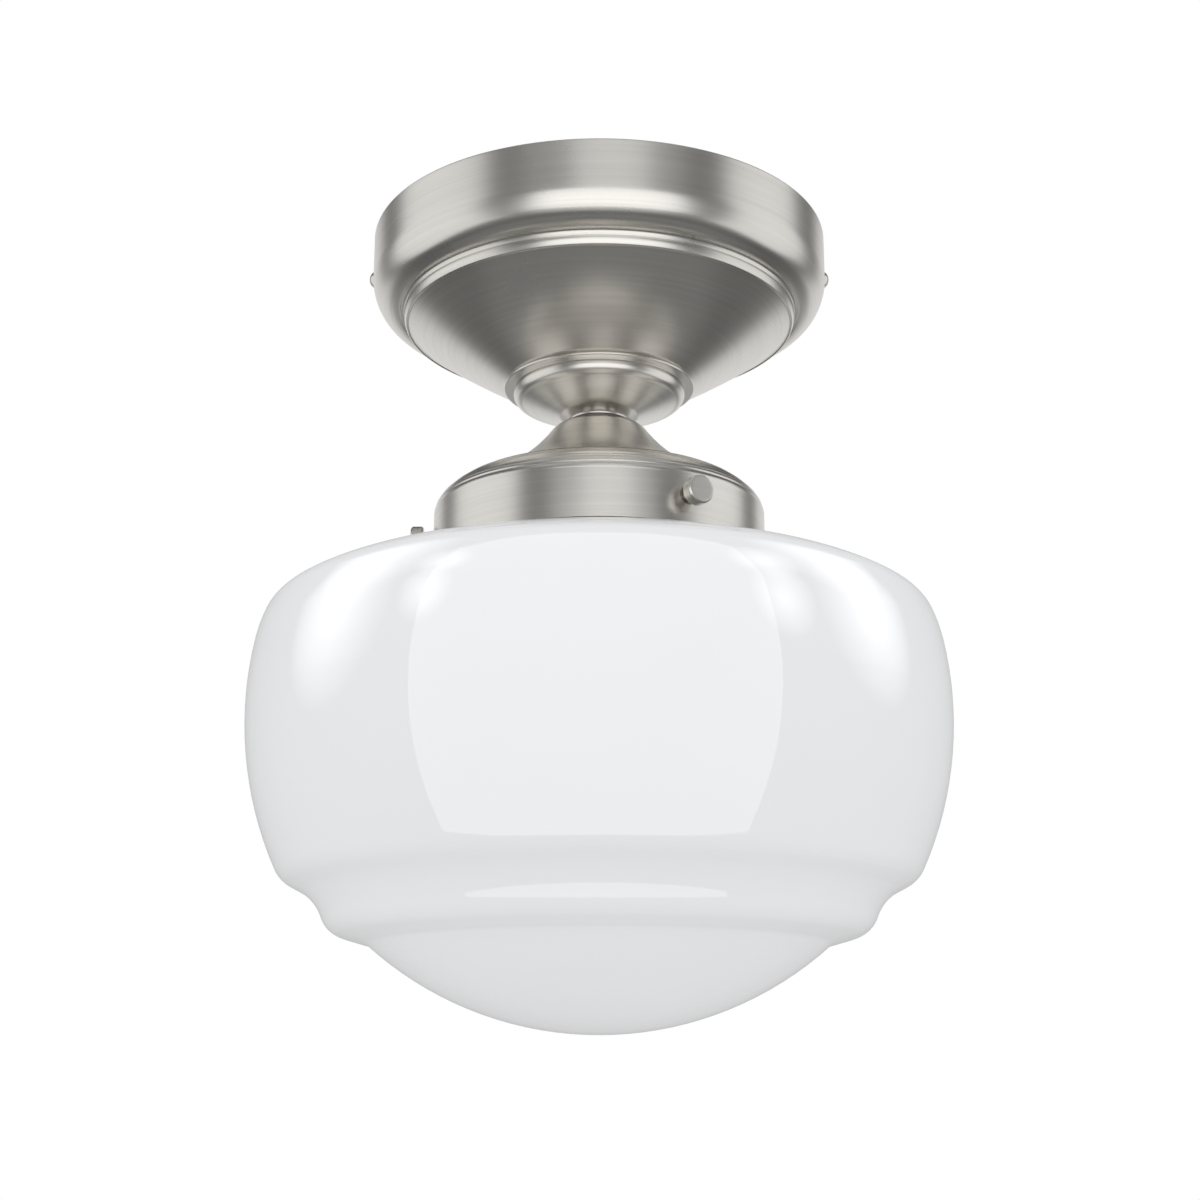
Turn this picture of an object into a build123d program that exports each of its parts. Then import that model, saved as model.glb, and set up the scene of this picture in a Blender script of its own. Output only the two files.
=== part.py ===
from build123d import *
import math
import os

# Semi-flush ceiling light in millimetres. The origin is the middle of the ceiling plane, +Z points up
# and the front is -Y. Every level below is counted down from the ceiling.

# Spun sheet of the metal covers, and the gaps between pieces
sheet = 0.9
stem_gap = 0.2
thread_gap = 0.05
running_gap = 0.1
free_gap = 0.3

# Canopy: straight wall, corner that tightens, narrow ledge, bead of two ribs, cone
canopy_radius = 76.2
canopy_wall_height = 14.6
canopy_upper_corner = 13.06
canopy_corner_turn = 30.0
canopy_lower_corner = 8.14
canopy_ledge = 1.3
canopy_ledge_rise = 0.6
canopy_upper_rib = 2.7
canopy_upper_rib_bulge = 0.45
canopy_rib_offset = 0.45
canopy_lower_rib = 3.3
canopy_lower_rib_bulge = 0.75
canopy_cone_drop = 19.8
canopy_cone_bulge = 0.5
canopy_foot_radius = 30.4

# Stem cup: flange that overhangs the canopy's floor, round bead, shallow cone, flat floor
cup_overhang = 1.4
cup_flange = 3.55
cup_bead_radius = 3.0
cup_bead_start = 29.0
cup_bead_end = -88.0
cup_cone_drop = 4.75
cup_floor_radius = 13.0

# Neck collar: a thin ring between two grooves
collar_radius = 10.5
collar_groove_depth = 1.2
collar_top_groove = 1.4
collar_ring_height = 1.5
collar_foot_groove = 0.5

# Neck bell: flat top, round shoulder, trumpet flare
bell_top_radius = 10.1
bell_shoulder_radius = 7.6
bell_shoulder_turn = 54.0
bell_flare_radius = 55.0
bell_foot_slope = 15.0

# Shade holder: flat top, shoulder of small steps, plain wall with a rounded edge
holder_radius = 53.95
holder_shoulder_radius = 12.8
holder_corner_radius = 6.7
holder_corner_turn = 35.0
holder_shoulder_turn = 61.0
holder_step_turns = (44.0, 33.0, 19.0)
holder_step_depth = 0.3
holder_lip = 0.5
holder_wall_height = 15.1
holder_edge = 0.4

# Stem, its nuts and washers
stem_radius = 5.0
stem_bore_radius = 3.4
stem_stand = 4.4
nut_flats = 14.3
nut_height = 4.0
washer_radius = 9.0
washer_thickness = 1.0

# Mounting bracket with its slots, and the ground screw
bracket_width = 24.0
bracket_thickness = 2.0
bracket_bend = 3.0
tab_width = 14.0
tab_margin = 4.5
slot_spacing = 79.4
slot_length = 15.0
slot_width = 5.0
ground_screw_offset = 22.0
ground_screw_radius = 2.0
ground_head_radius = 4.2
ground_head_height = 2.6
ground_eye_thickness = 0.8
ground_barrel_length = 7.0

# Canopy side screws
side_screw_drop = 11.0
side_screw_radius = 2.0
side_head_radius = 2.95
side_head_height = 1.85
side_screw_reach = 3.0
screw_slot_width = 0.8
screw_slot_depth = 0.7

# Thumbscrews and their bushes, at the angles seen from above
thumb_angles = (-60.0, 60.0, 180.0)
thumb_rise = 8.4
thumb_radius = 2.1
thumb_bare = 3.5
thumb_head_radius = 4.45
thumb_head_length = 4.0
thumb_bevel = 0.5
thumb_tip_radius = 1.0
bush_radius = 4.0
bush_thickness = 2.0
bush_spigot_radius = 2.9

# Opal glass shade: lip and neck in the holder, sloping shoulder, drum, step ring and bowl
glass_wall = 3.2
lip_clearance = 2.65
lip_overhang = 1.1
lip_rise = 2.8
lip_height = 3.5
lip_rounding = 1.0
neck_fillet = 4.0
shade_gap = 0.3
shoulder_slope = 18.0
drum_radius = 110.93
shoulder_arc = (47.0, 60.0)
edge_arc = (11.0, 22.0)
easing_arc = (46.0, 10.4)
upper_side_arc = 111.0
lower_side_arc = (113.0, 25.5)
drum_foot_arc = (9.5, 63.0)
drum_foot_ledge = 3.0
step_hollow_arc = (15.7, 20.0)
step_ring_arc = (8.9, 74.0)
step_ring_ledge = 8.5
bowl_radius = 108.6

# Lamp socket: strap, porcelain body, screw shell and centre contact
strap_thickness = 1.5
strap_width = 16.0
strap_leg = 22.0
socket_radius = 20.5
socket_height = 36.0
socket_neck_height = 12.0
socket_neck_radius = 16.0
socket_flat = 13.5
socket_standoff = 11.5
socket_screw_radius = 1.75
socket_screw_length = 6.0
socket_head_radius = 3.2
socket_head_height = 2.0
lead_well_depth = 5.0
shell_wall = 0.5
shell_depth = 23.0
shell_inset = 1.5
contact_radius = 5.0
contact_thickness = 1.0

# Bulb with a screw cap
thread_crest_radius = 13.0
thread_depth = 0.6
thread_pitch = 3.6
thread_turns = 4
cap_skirt = 4.5
bulb_contact_radius = 4.5
bulb_contact_height = 1.2
bulb_contact_taper = 30.0
bulb_insulator_height = 3.0
bulb_insulator_radius = 9.5
bulb_radius = 30.0
bulb_neck_arc = 40.0
bulb_neck_turn = 30.0
bulb_wall = 1.0

# Leads and their connectors
lead_radius = 1.3
lead_spread = 1.5
lead_bend_share = 0.45
lead_bend_rise = 14.0
lead_turns = ((8.5, 26.0, 6.0), (24.0, 14.0, 0.0))
ground_turns = ((0.0, 15.0, 0.0), (-5.0, 17.0, -5.0), (-20.0, 11.0, -3.0))
connector_length = 19.0
connector_skirt = 6.4
connector_mouth_radius = 6.2
connector_end_radius = 3.6
connector_bore_depth = 11.0
connector_flutes = 10
connector_flute_radius = 0.8


def turned(*edges):
    """Solid of revolution about Z, from a closed outline in radius and height."""
    return revolve(Plane.XZ * make_face(edges), Axis.Z)


def spun(*edges):
    """Sheet metal cover, from an open outline of its outside that runs with the metal on its right."""
    skin = Wire(edges).offset_2d(sheet, side=Side.RIGHT)
    return revolve(Plane.XZ * make_face(skin), Axis.Z)


def ring(inner, outer, top, foot):
    """Plain ring about Z between two radii and two levels."""
    return turned(Polyline((inner, top), (outer, top), (outer, foot), (inner, foot), close=True))


def outward(angle):
    """Unit vector, in radius and height, of a surface that faces this far above level."""
    return Vector(math.cos(math.radians(angle)), math.sin(math.radians(angle)))


def turned_way(radius, first, last):
    """Step from end to end of an arc on which the surface turns from facing first to facing last."""
    return (outward(last) - outward(first)) * radius


def bulged(start, end, bulge):
    """Arc from start to end that stands out by bulge to the left of the way there."""
    start = Vector(start)
    end = Vector(end)
    along = (end - start).normalized()
    return ThreePointArc(start, (start + end) / 2 + Vector(-along.Y, along.X) * bulge, end)


def facing_arc(start, radius, first, last):
    """Arc on which the surface turns from facing first to facing last; hollow for a negative radius."""
    middle = start + turned_way(radius, first, (first + last) / 2)
    return ThreePointArc(start, middle, start + turned_way(radius, first, last))


def aimed(shape, place, direction):
    """Shape that was made along +Z from the origin, laid at place along direction."""
    return Plane(origin=place, z_dir=direction) * shape


def rod(place, direction, radius, length):
    """Cylinder from place along direction."""
    return aimed(extrude(Circle(radius), length), place, direction)


def radial(angle):
    """Level unit vector at an angle seen from above."""
    return Vector(math.cos(math.radians(angle)), math.sin(math.radians(angle)), 0)


def domed_head(radius, height):
    """Low domed screw head on Z, with a driver slot across it."""
    rounding = (radius**2 + height**2) / (2 * height)
    head = turned(
        Line((0, 0), (radius, 0)),
        RadiusArc((radius, 0), (0, height), -rounding),
        Line((0, height), (0, 0)),
    )
    slot = Box(2 * radius, screw_slot_width, 2 * screw_slot_depth)
    return head - Pos(0, 0, height) * slot


# Levels, worked out from the sizes above

stem_hole = stem_radius + stem_gap
canopy_inside = canopy_radius - sheet
wall_foot = Vector(canopy_radius, -canopy_wall_height)
corner_middle = wall_foot + turned_way(canopy_upper_corner, 0, -canopy_corner_turn)
corner_foot = corner_middle + turned_way(canopy_lower_corner, -canopy_corner_turn, -90)
bead_top = corner_foot + Vector(-canopy_ledge, canopy_ledge_rise)
bead_groove = bead_top + Vector(canopy_rib_offset, -canopy_upper_rib)
bead_foot = bead_groove - Vector(canopy_rib_offset, canopy_lower_rib)
canopy_foot = bead_foot.Y - canopy_cone_drop
cup_ledge = canopy_foot - sheet
cup_edge = canopy_foot_radius + cup_overhang
cup_bead_top = Vector(cup_edge - cup_flange, cup_ledge)
cup_bead_foot = cup_bead_top + turned_way(cup_bead_radius, cup_bead_start, cup_bead_end)
cup_foot = cup_bead_foot.Y - cup_cone_drop
collar_foot = cup_foot - collar_top_groove - collar_ring_height - collar_foot_groove
tab_drop = side_screw_drop + tab_margin


# Canopy


def canopy_shell():
    foot_edge = (canopy_foot_radius, canopy_foot)
    cover = spun(
        Line((canopy_radius, 0), wall_foot),
        facing_arc(wall_foot, canopy_upper_corner, 0, -canopy_corner_turn),
        facing_arc(corner_middle, canopy_lower_corner, -canopy_corner_turn, -90),
        Line(corner_foot, bead_top),
        bulged(bead_top, bead_groove, canopy_upper_rib_bulge),
        bulged(bead_groove, bead_foot, canopy_lower_rib_bulge),
        bulged(bead_foot, foot_edge, canopy_cone_bulge),
        Line(foot_edge, (stem_hole, canopy_foot)),
    )
    for side in (-1, 1):
        start = (side * (canopy_inside - sheet), 0, -side_screw_drop)
        cover -= rod(start, (side, 0, 0), side_screw_radius + free_gap, 3 * sheet)
    return cover


def side_screw(side):
    """Round-headed screw that holds the canopy to a tab of the bracket."""
    seat = canopy_radius + running_gap
    reach = seat - (tab_face - bracket_thickness) + side_screw_reach
    shank = extrude(Circle(side_screw_radius), -reach)
    screw = shank + domed_head(side_head_radius, side_head_height)
    return aimed(screw, (side * seat, 0, -side_screw_drop), (side, 0, 0))


# Mounting bracket

tab_face = math.sqrt(canopy_inside**2 - (tab_width / 2) ** 2) - free_gap


def mounting_bracket():
    section = Wire(
        [
            Line((-tab_face, -tab_drop), (-tab_face, -bracket_bend)),
            RadiusArc((-tab_face, -bracket_bend), (bracket_bend - tab_face, 0), bracket_bend),
            Line((bracket_bend - tab_face, 0), (tab_face - bracket_bend, 0)),
            RadiusArc((tab_face - bracket_bend, 0), (tab_face, -bracket_bend), bracket_bend),
            Line((tab_face, -bracket_bend), (tab_face, -tab_drop)),
        ]
    ).offset_2d(bracket_thickness, side=Side.RIGHT)
    bent = extrude(Plane.XZ * make_face(section), bracket_width / 2, both=True)
    shoulder = tab_face - 2 * bracket_bend
    plan = RectangleRounded(2 * shoulder, bracket_width, bracket_bend)
    plan += Rectangle(2 * tab_face, tab_width)
    bracket = bent & extrude(plan, -tab_drop)
    for side in (-1, 1):
        slot = SlotOverall(slot_length, slot_width)
        bracket -= Pos(side * slot_spacing / 2, 0, 0) * extrude(slot, -bracket_thickness)
        hole = side_screw_radius + running_gap
        bracket -= rod((0, 0, -side_screw_drop), (side, 0, 0), hole, canopy_radius)
    hole = ground_screw_radius + thread_gap
    return bracket - rod((ground_screw_offset, 0, 0), (0, 0, -1), hole, bracket_thickness)


ground_eye_top = -bracket_thickness
ground_eye_foot = ground_eye_top - ground_eye_thickness


def ground_screw():
    head_foot = ground_eye_foot - ground_head_height
    head = extrude(RegularPolygon(ground_head_radius, 6), ground_head_height)
    shank = extrude(Circle(ground_screw_radius), -head_foot)
    return Pos(ground_screw_offset, 0, head_foot) * (head + shank)


def ground_terminal():
    """Eye under the ground screw's head, with a crimped barrel for the ground lead."""
    eye = extrude(Circle(ground_head_radius + running_gap), -ground_eye_thickness)
    tongue = Box(2 * lead_radius, 2 * ground_head_radius, ground_eye_thickness)
    eye += Pos(0, ground_head_radius, -ground_eye_thickness / 2) * tongue
    barrel_foot = (0, ground_barrel_start, -barrel_drop)
    eye += rod(barrel_foot, (0, 1, 0), lead_radius + ground_eye_thickness, ground_barrel_length)
    eye -= rod((0, 0, 0), (0, 0, -1), ground_screw_radius + running_gap, ground_eye_thickness)
    eye -= rod(barrel_foot, (0, 1, 0), lead_radius + thread_gap, ground_barrel_length)
    return Pos(ground_screw_offset, 0, ground_eye_top) * eye


barrel_drop = lead_radius + ground_eye_thickness
ground_barrel_start = ground_head_radius + 2 * free_gap


# Neck


def stem_cup():
    floor_edge = (cup_floor_radius, cup_foot)
    return spun(
        Line((cup_edge, cup_ledge), cup_bead_top),
        facing_arc(cup_bead_top, cup_bead_radius, cup_bead_start, cup_bead_end),
        Line(cup_bead_foot, floor_edge),
        Line(floor_edge, (stem_hole, cup_foot)),
    )


def neck_collar():
    groove = collar_radius - collar_groove_depth
    ring_top = cup_foot - collar_top_groove
    ring_foot = ring_top - collar_ring_height
    body = ring(stem_hole, groove, cup_foot, collar_foot)
    rim = ring(stem_hole, collar_radius, ring_top, ring_foot)
    return body + rim


def bell_outline():
    """Flat top, convex shoulder and hollow flare of the bell's outside."""
    top = Vector(bell_top_radius, collar_foot)
    shoulder = facing_arc(top, bell_shoulder_radius, 90, 90 - bell_shoulder_turn)
    flare = facing_arc(
        shoulder @ 1, -bell_flare_radius, 90 - bell_shoulder_turn, 90 - bell_foot_slope
    )
    return Line((stem_hole, collar_foot), top), shoulder, flare


bell_foot_edge = bell_outline()[2] @ 1
holder_top = bell_foot_edge.Y - sheet * math.cos(math.radians(bell_foot_slope)) + running_gap


def neck_bell():
    below = Pos(0, 0, holder_top) * Cylinder(
        2 * bell_foot_edge.X, bell_flare_radius, align=(Align.CENTER, Align.CENTER, Align.MAX)
    )
    return spun(*bell_outline()) - below


# Shade holder

holder_wall_top = holder_top - holder_lip - (
    outward(holder_shoulder_turn).Y - outward(holder_corner_turn).Y
) * holder_shoulder_radius - outward(holder_corner_turn).Y * holder_corner_radius
holder_foot = holder_wall_top - holder_wall_height


def holder_profile_point(turn):
    """Point of the holder's smooth shoulder where it faces this far above level."""
    corner = Vector(holder_radius, holder_wall_top)
    low = min(turn, holder_corner_turn)
    point = corner + (outward(low) - outward(0)) * holder_corner_radius
    return point + (outward(turn) - outward(low)) * holder_shoulder_radius


def shade_holder():
    turns = (holder_shoulder_turn, *holder_step_turns, 0)
    creases = [
        holder_profile_point(turn) - outward(turn) * holder_step_depth for turn in holder_step_turns
    ]
    points = [holder_profile_point(holder_shoulder_turn), *creases, holder_profile_point(0)]
    steps = [
        ThreePointArc(points[i], holder_profile_point((turns[i] + turns[i + 1]) / 2), points[i + 1])
        for i in range(len(turns) - 1)
    ]
    rim = Vector(points[0].X - holder_lip, holder_top)
    pan = spun(
        Line((stem_hole, holder_top), rim),
        Line(rim, points[0]),
        *steps,
        Line(points[-1], (holder_radius, holder_foot)),
    )
    pan = fillet(pan.edges().sort_by(Axis.Z)[:2], holder_edge)
    hole = bush_spigot_radius + thread_gap
    for angle in thumb_angles:
        pan -= rod((0, 0, thumb_level), radial(angle), hole, 2 * holder_radius)
    return pan


thumb_level = holder_foot + thumb_rise
holder_inside = holder_radius - sheet


def thumbscrew_bushes():
    """Threaded bushes, flanged inside the holder's wall and flush with its outside."""
    wall = ring(0, holder_radius, holder_wall_top, holder_foot)
    room = ring(0, holder_inside, holder_wall_top, holder_foot)
    seat = holder_inside - bush_thickness
    bushes = []
    for angle in thumb_angles:
        start = radial(angle) * seat + Vector(0, 0, thumb_level)
        flange = rod(start, radial(angle), bush_radius, 2 * bush_thickness) & room
        spigot = rod(start, radial(angle), bush_spigot_radius, 2 * bush_thickness + sheet) & wall
        bore = rod(start, radial(angle), thumb_radius + running_gap, 2 * bush_thickness + sheet)
        bushes.append(flange + spigot - bore)
    return Compound(children=[solid for bush in bushes for solid in bush.solids()])


def thumbscrew(angle):
    """Plain round-headed thumbscrew whose blunt tip bears on the glass neck."""
    tip = neck_radius + free_gap
    cone = thumb_radius - thumb_tip_radius
    head = holder_radius + thumb_bare
    end = head + thumb_head_length
    screw = turned(
        Polyline(
            (0, tip),
            (thumb_tip_radius, tip),
            (thumb_radius, tip + cone),
            (thumb_radius, head),
            (thumb_head_radius - thumb_bevel, head),
            (thumb_head_radius, head + thumb_bevel),
            (thumb_head_radius, end - thumb_bevel),
            (thumb_head_radius - thumb_bevel, end),
            (0, end),
            close=True,
        )
    )
    return aimed(screw, (0, 0, thumb_level), radial(angle))


# Stem, nuts and washers

canopy_floor = canopy_foot + sheet
strap_top = holder_top - sheet
upper_nut_foot = canopy_floor + washer_thickness
lower_nut_top = strap_top - strap_thickness - washer_thickness
stem_top = upper_nut_foot + nut_height + stem_stand
stem_foot = lower_nut_top - nut_height - stem_gap


def hollow_stem():
    return ring(stem_bore_radius, stem_radius, stem_top, stem_foot)


def stem_nut(foot):
    nut = extrude(RegularPolygon(nut_flats / 2, 6, major_radius=False), nut_height)
    nut -= extrude(Circle(stem_radius + thread_gap), nut_height)
    return Pos(0, 0, foot) * nut


def stem_washer(foot):
    return ring(stem_hole, washer_radius, foot + washer_thickness, foot)


# Glass shade

lip_radius = holder_inside - lip_clearance
neck_radius = lip_radius - lip_overhang
shoulder_facing = 90 - shoulder_slope
fillet_reach = neck_fillet * (1 - outward(shoulder_facing).X)
fillet_drop = neck_fillet * outward(shoulder_facing).Y
shoulder_rise = (holder_inside - neck_radius - fillet_reach) * math.tan(math.radians(shoulder_slope))
neck_foot = holder_foot - shade_gap + shoulder_rise + fillet_drop
lip_top = holder_wall_top + lip_rise
neck_top = lip_top - lip_height


def shade_turns():
    """Radius and last facing of each arc from the shoulder to the ring above the bowl."""
    return (
        (shoulder_arc[0], shoulder_arc[1]),
        (edge_arc[0], edge_arc[1]),
        (easing_arc[0], easing_arc[1]),
        (upper_side_arc, 0),
        (lower_side_arc[0], -lower_side_arc[1]),
        (drum_foot_arc[0], -drum_foot_arc[1]),
    )


def shoulder_length():
    """Straight stretch of the shoulder that brings the drum out to its radius."""
    reach = neck_radius + fillet_reach
    facing = shoulder_facing
    for radius, last in shade_turns()[:4]:
        reach += (outward(last).X - outward(facing).X) * radius
        facing = last
    return (drum_radius - reach) / math.sin(math.radians(shoulder_facing))


def downhill(facing):
    """Way down along a surface that faces this far above level."""
    return outward(facing - 90)


def shade_side(inset):
    """Edges from the foot of the neck to the ring above the bowl, moved inwards by inset."""
    facing = shoulder_facing
    edges = [facing_arc(Vector(neck_radius - inset, neck_foot), -neck_fillet - inset, 0, facing)]
    edges.append(Line(edges[-1] @ 1, edges[-1] @ 1 + downhill(facing) * shoulder_length()))
    for radius, last in shade_turns():
        edges.append(facing_arc(edges[-1] @ 1, radius - inset, facing, last))
        facing = last
    edges.append(Line(edges[-1] @ 1, edges[-1] @ 1 + downhill(facing) * drum_foot_ledge))
    edges.append(facing_arc(edges[-1] @ 1, -step_hollow_arc[0] - inset, facing, -step_hollow_arc[1]))
    facing = -step_hollow_arc[1]
    edges.append(facing_arc(edges[-1] @ 1, step_ring_arc[0] - inset, facing, -step_ring_arc[1]))
    return edges


def ledge_onto_bowl(start, centre, radius):
    """Straight ledge from start to where it meets the bowl's ball."""
    way = downhill(-step_ring_arc[1])
    offset = start - Vector(0, centre)
    along = offset.dot(way)
    length = -along - math.sqrt(along**2 - offset.dot(offset) + radius**2)
    return Line(start, start + way * length)


def bowl_centre():
    edge = shade_side(0)[-1] @ 1 + downhill(-step_ring_arc[1]) * step_ring_ledge
    return edge.Y + math.sqrt(bowl_radius**2 - edge.X**2)


def shade_wall(inset):
    """Whole outline from the foot of the neck to the bottom of the bowl."""
    edges = shade_side(inset)
    radius = bowl_radius - inset
    ledge = ledge_onto_bowl(edges[-1] @ 1, bowl_centre(), radius)
    rim = ledge @ 1
    facing = math.degrees(math.atan2(rim.Y - bowl_centre(), rim.X))
    return [*edges, ledge, facing_arc(rim, radius, facing, -90)]


def glass_shade():
    inner_radius = neck_radius - glass_wall
    outside = shade_wall(0)
    inside = shade_wall(glass_wall)
    body = turned(
        *outside,
        Line(outside[-1] @ 1, inside[-1] @ 1),
        *inside,
        Line(inside[0] @ 0, (inner_radius, lip_top)),
        Line((inner_radius, lip_top), (neck_radius, lip_top)),
        Line((neck_radius, lip_top), outside[0] @ 0),
    )
    lip = ring(inner_radius, lip_radius, lip_top, neck_top)
    rims = [edge for edge in lip.edges().filter_by(GeomType.CIRCLE) if edge.radius > neck_radius]
    return body + fillet(rims, lip_rounding)


# Lamp socket

socket_top = strap_top - socket_standoff
socket_foot = socket_top - socket_height
strap_inside = socket_flat + running_gap
socket_screw_level = socket_top - socket_neck_height / 2
shell_radius = thread_crest_radius + free_gap + running_gap
shell_outside = shell_radius + thread_depth + shell_wall
shell_foot = socket_foot + shell_inset
shell_top = shell_foot + shell_depth


def socket_strap():
    strap = Pos(0, 0, strap_top) * Box(
        2 * (strap_inside + strap_thickness),
        strap_width,
        strap_leg,
        align=(Align.CENTER, Align.CENTER, Align.MAX),
    )
    strap = fillet(strap.edges().filter_by(Axis.Y).group_by(Axis.Z)[-1], strap_thickness)
    room = Pos(0, 0, strap_top - strap_thickness) * Box(
        2 * strap_inside, strap_width, strap_leg, align=(Align.CENTER, Align.CENTER, Align.MAX)
    )
    strap -= room
    strap -= rod((0, 0, strap_top), (0, 0, -1), stem_hole, strap_thickness)
    start = (-socket_radius, 0, socket_screw_level)
    return strap - rod(start, (1, 0, 0), socket_screw_radius + stem_gap, 2 * socket_radius)


def socket_body():
    """Porcelain body: flatted neck above, wider cup below, open downwards for the screw shell."""
    shoulder = socket_top - socket_neck_height
    bore = shell_outside + running_gap
    outline = Polyline(
        (0, socket_top),
        (socket_neck_radius, socket_top),
        (socket_neck_radius, shoulder),
        (socket_radius, shoulder),
        (socket_radius, socket_foot),
        (bore, socket_foot),
        (bore, shell_top),
        (0, shell_top),
        close=True,
    )
    profile = make_face(outline)
    outer = profile.vertices().filter_by(lambda v: v.X > socket_neck_radius - free_gap)
    body = revolve(Plane.XZ * fillet(outer, glass_wall / 2), Axis.Z)
    for side in (-1, 1):
        flat = Pos(side * (socket_flat + socket_radius), 0, socket_top)
        body -= flat * Box(2 * socket_radius, 4 * socket_radius, 2 * socket_neck_height)
        start = (side * socket_flat, 0, socket_screw_level)
        depth = socket_screw_length + stem_gap
        body -= rod(start, (-side, 0, 0), socket_screw_radius + thread_gap, depth)
    return body - rod((0, 0, socket_top), (0, 0, -1), stem_bore_radius, lead_well_depth)


def socket_screws():
    seat = strap_inside + strap_thickness
    length = socket_screw_length + seat - socket_flat
    shank = extrude(Circle(socket_screw_radius), -length)
    screw = shank + domed_head(socket_head_radius, socket_head_height)
    places = [aimed(screw, (side * seat, 0, socket_screw_level), (side, 0, 0)) for side in (-1, 1)]
    return Compound(children=[place.solid() for place in places])


def thread_edges(crest, top):
    """Rounded rings that stand for a rolled thread, from the top downwards."""
    root = crest - thread_depth
    half = thread_pitch / 2
    edges = []
    for turn in range(thread_turns):
        level = top - turn * thread_pitch
        edges.append(ThreePointArc((root, level), (crest, level - half), (root, level - thread_pitch)))
    return edges


def socket_shell():
    """Brass sleeve with rolled rings, a little wider than the bulb's cap."""
    rings_top = (shell_top + shell_foot + thread_turns * thread_pitch) / 2
    rings = thread_edges(shell_radius + thread_depth, rings_top)
    inside = [
        Line((shell_radius, shell_top), rings[0] @ 0),
        *rings,
        Line(rings[-1] @ 1, (shell_radius, shell_foot)),
    ]
    return turned(
        *inside,
        Line((shell_radius, shell_foot), (shell_outside, shell_foot)),
        Line((shell_outside, shell_foot), (shell_outside, shell_top)),
        Line((shell_outside, shell_top), (shell_radius, shell_top)),
    )


def socket_contact():
    return ring(0, contact_radius, shell_top, shell_top - contact_thickness)


# Bulb

bulb_top = shell_top - contact_thickness - free_gap
insulator_top = bulb_top - bulb_contact_height
cap_top = insulator_top - bulb_insulator_height
cap_foot = cap_top - thread_turns * thread_pitch - cap_skirt
thread_root_radius = thread_crest_radius - thread_depth


def bulb_contact():
    button = extrude(Circle(bulb_contact_radius), bulb_contact_height, taper=bulb_contact_taper)
    return Pos(0, 0, insulator_top) * button


def bulb_insulator():
    return turned(
        Polyline(
            (0, insulator_top),
            (bulb_contact_radius, insulator_top),
            (bulb_insulator_radius, cap_top),
            (0, cap_top),
            close=True,
        )
    )


def bulb_cap():
    """Thin cap with rolled rings and a plain skirt round the bulb's neck."""
    rings = thread_edges(thread_crest_radius, cap_top)
    inside = thread_root_radius - shell_wall
    return turned(
        Line((0, cap_top), (thread_root_radius, cap_top)),
        *rings,
        Line(rings[-1] @ 1, (thread_root_radius, cap_foot)),
        Line((thread_root_radius, cap_foot), (inside, cap_foot)),
        Line((inside, cap_foot), (inside, cap_top - shell_wall)),
        Line((inside, cap_top - shell_wall), (0, cap_top - shell_wall)),
        Line((0, cap_top - shell_wall), (0, cap_top)),
    )


def bulb_wall_edges(inset):
    """Hollow neck arc, straight flank and round end of the bulb's glass."""
    facing = bulb_neck_turn
    start = Vector(thread_root_radius - inset, cap_foot)
    neck = facing_arc(start, -bulb_neck_arc - inset, 0, facing)
    flank_end = (bulb_radius - inset) * outward(facing).X
    length = (flank_end - (neck @ 1).X) / math.sin(math.radians(facing))
    flank = Line(neck @ 1, neck @ 1 + downhill(facing) * length)
    return [neck, flank, facing_arc(flank @ 1, bulb_radius - inset, facing, -90)]


def bulb_globe():
    outside = bulb_wall_edges(0)
    inside = bulb_wall_edges(bulb_wall)
    return turned(
        *outside,
        Line(outside[-1] @ 1, inside[-1] @ 1),
        *inside,
        Line(inside[0] @ 0, outside[0] @ 0),
    )


# Leads and connectors

lead_foot = socket_top - lead_well_depth + free_gap
lead_bend = stem_top + lead_bend_rise


def route(start, runs):
    """Corner points of a lead, from its start and its runs."""
    points = [Vector(*start)]
    for run in runs:
        points.append(points[-1] + Vector(*run))
    return points


def live_route(side):
    """Up through the stem, over its end and back to a connector on one side of the canopy."""
    runs = [(0, 0, lead_bend - lead_foot)]
    runs += [(side * x, y, z) for x, y, z in lead_turns]
    return route((side * lead_spread, 0, lead_foot), runs)


def ground_route():
    start = (ground_screw_offset, ground_barrel_start + free_gap, ground_eye_top - barrel_drop)
    return route(start, ground_turns)


def lead(points):
    """Round insulated wire along straight runs joined by tangent arcs."""
    runs = [b - a for a, b in zip(points, points[1:])]
    radii = []
    for first, second in zip(runs, runs[1:]):
        half_turn = math.radians(first.get_angle(second) / 2)
        shorter = min(first.length, second.length)
        radii.append(lead_bend_share * shorter / math.tan(half_turn))
    path = FilletPolyline(*points, radius=radii)
    section = Plane(origin=points[0], z_dir=runs[0]) * Circle(lead_radius)
    return sweep(section, path=path)


def wire_connector(points):
    """Fluted cap screwed over the end of a lead."""
    way = (points[-1] - points[-2]).normalized()
    cap = turned(
        Polyline(
            (lead_radius + running_gap, 0),
            (connector_mouth_radius, 0),
            (connector_mouth_radius, connector_skirt),
            (connector_end_radius, connector_length),
            (0, connector_length),
            (0, connector_bore_depth),
            (lead_radius + running_gap, connector_bore_depth),
            close=True,
        )
    )
    outset = connector_flute_radius / 2
    start = Vector(connector_mouth_radius + outset, 0, connector_skirt)
    end = Vector(connector_end_radius + outset, 0, connector_length)
    flute = rod(start, end - start, connector_flute_radius, connector_length)
    for turn in range(connector_flutes):
        cap -= Rot(0, 0, turn * 360 / connector_flutes) * flute
    return aimed(cap, points[-1] - way * (connector_bore_depth - free_gap), way)


def wire_connectors():
    routes = (live_route(1), live_route(-1), ground_route())
    return Compound(children=[wire_connector(points).solid() for points in routes])


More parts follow.
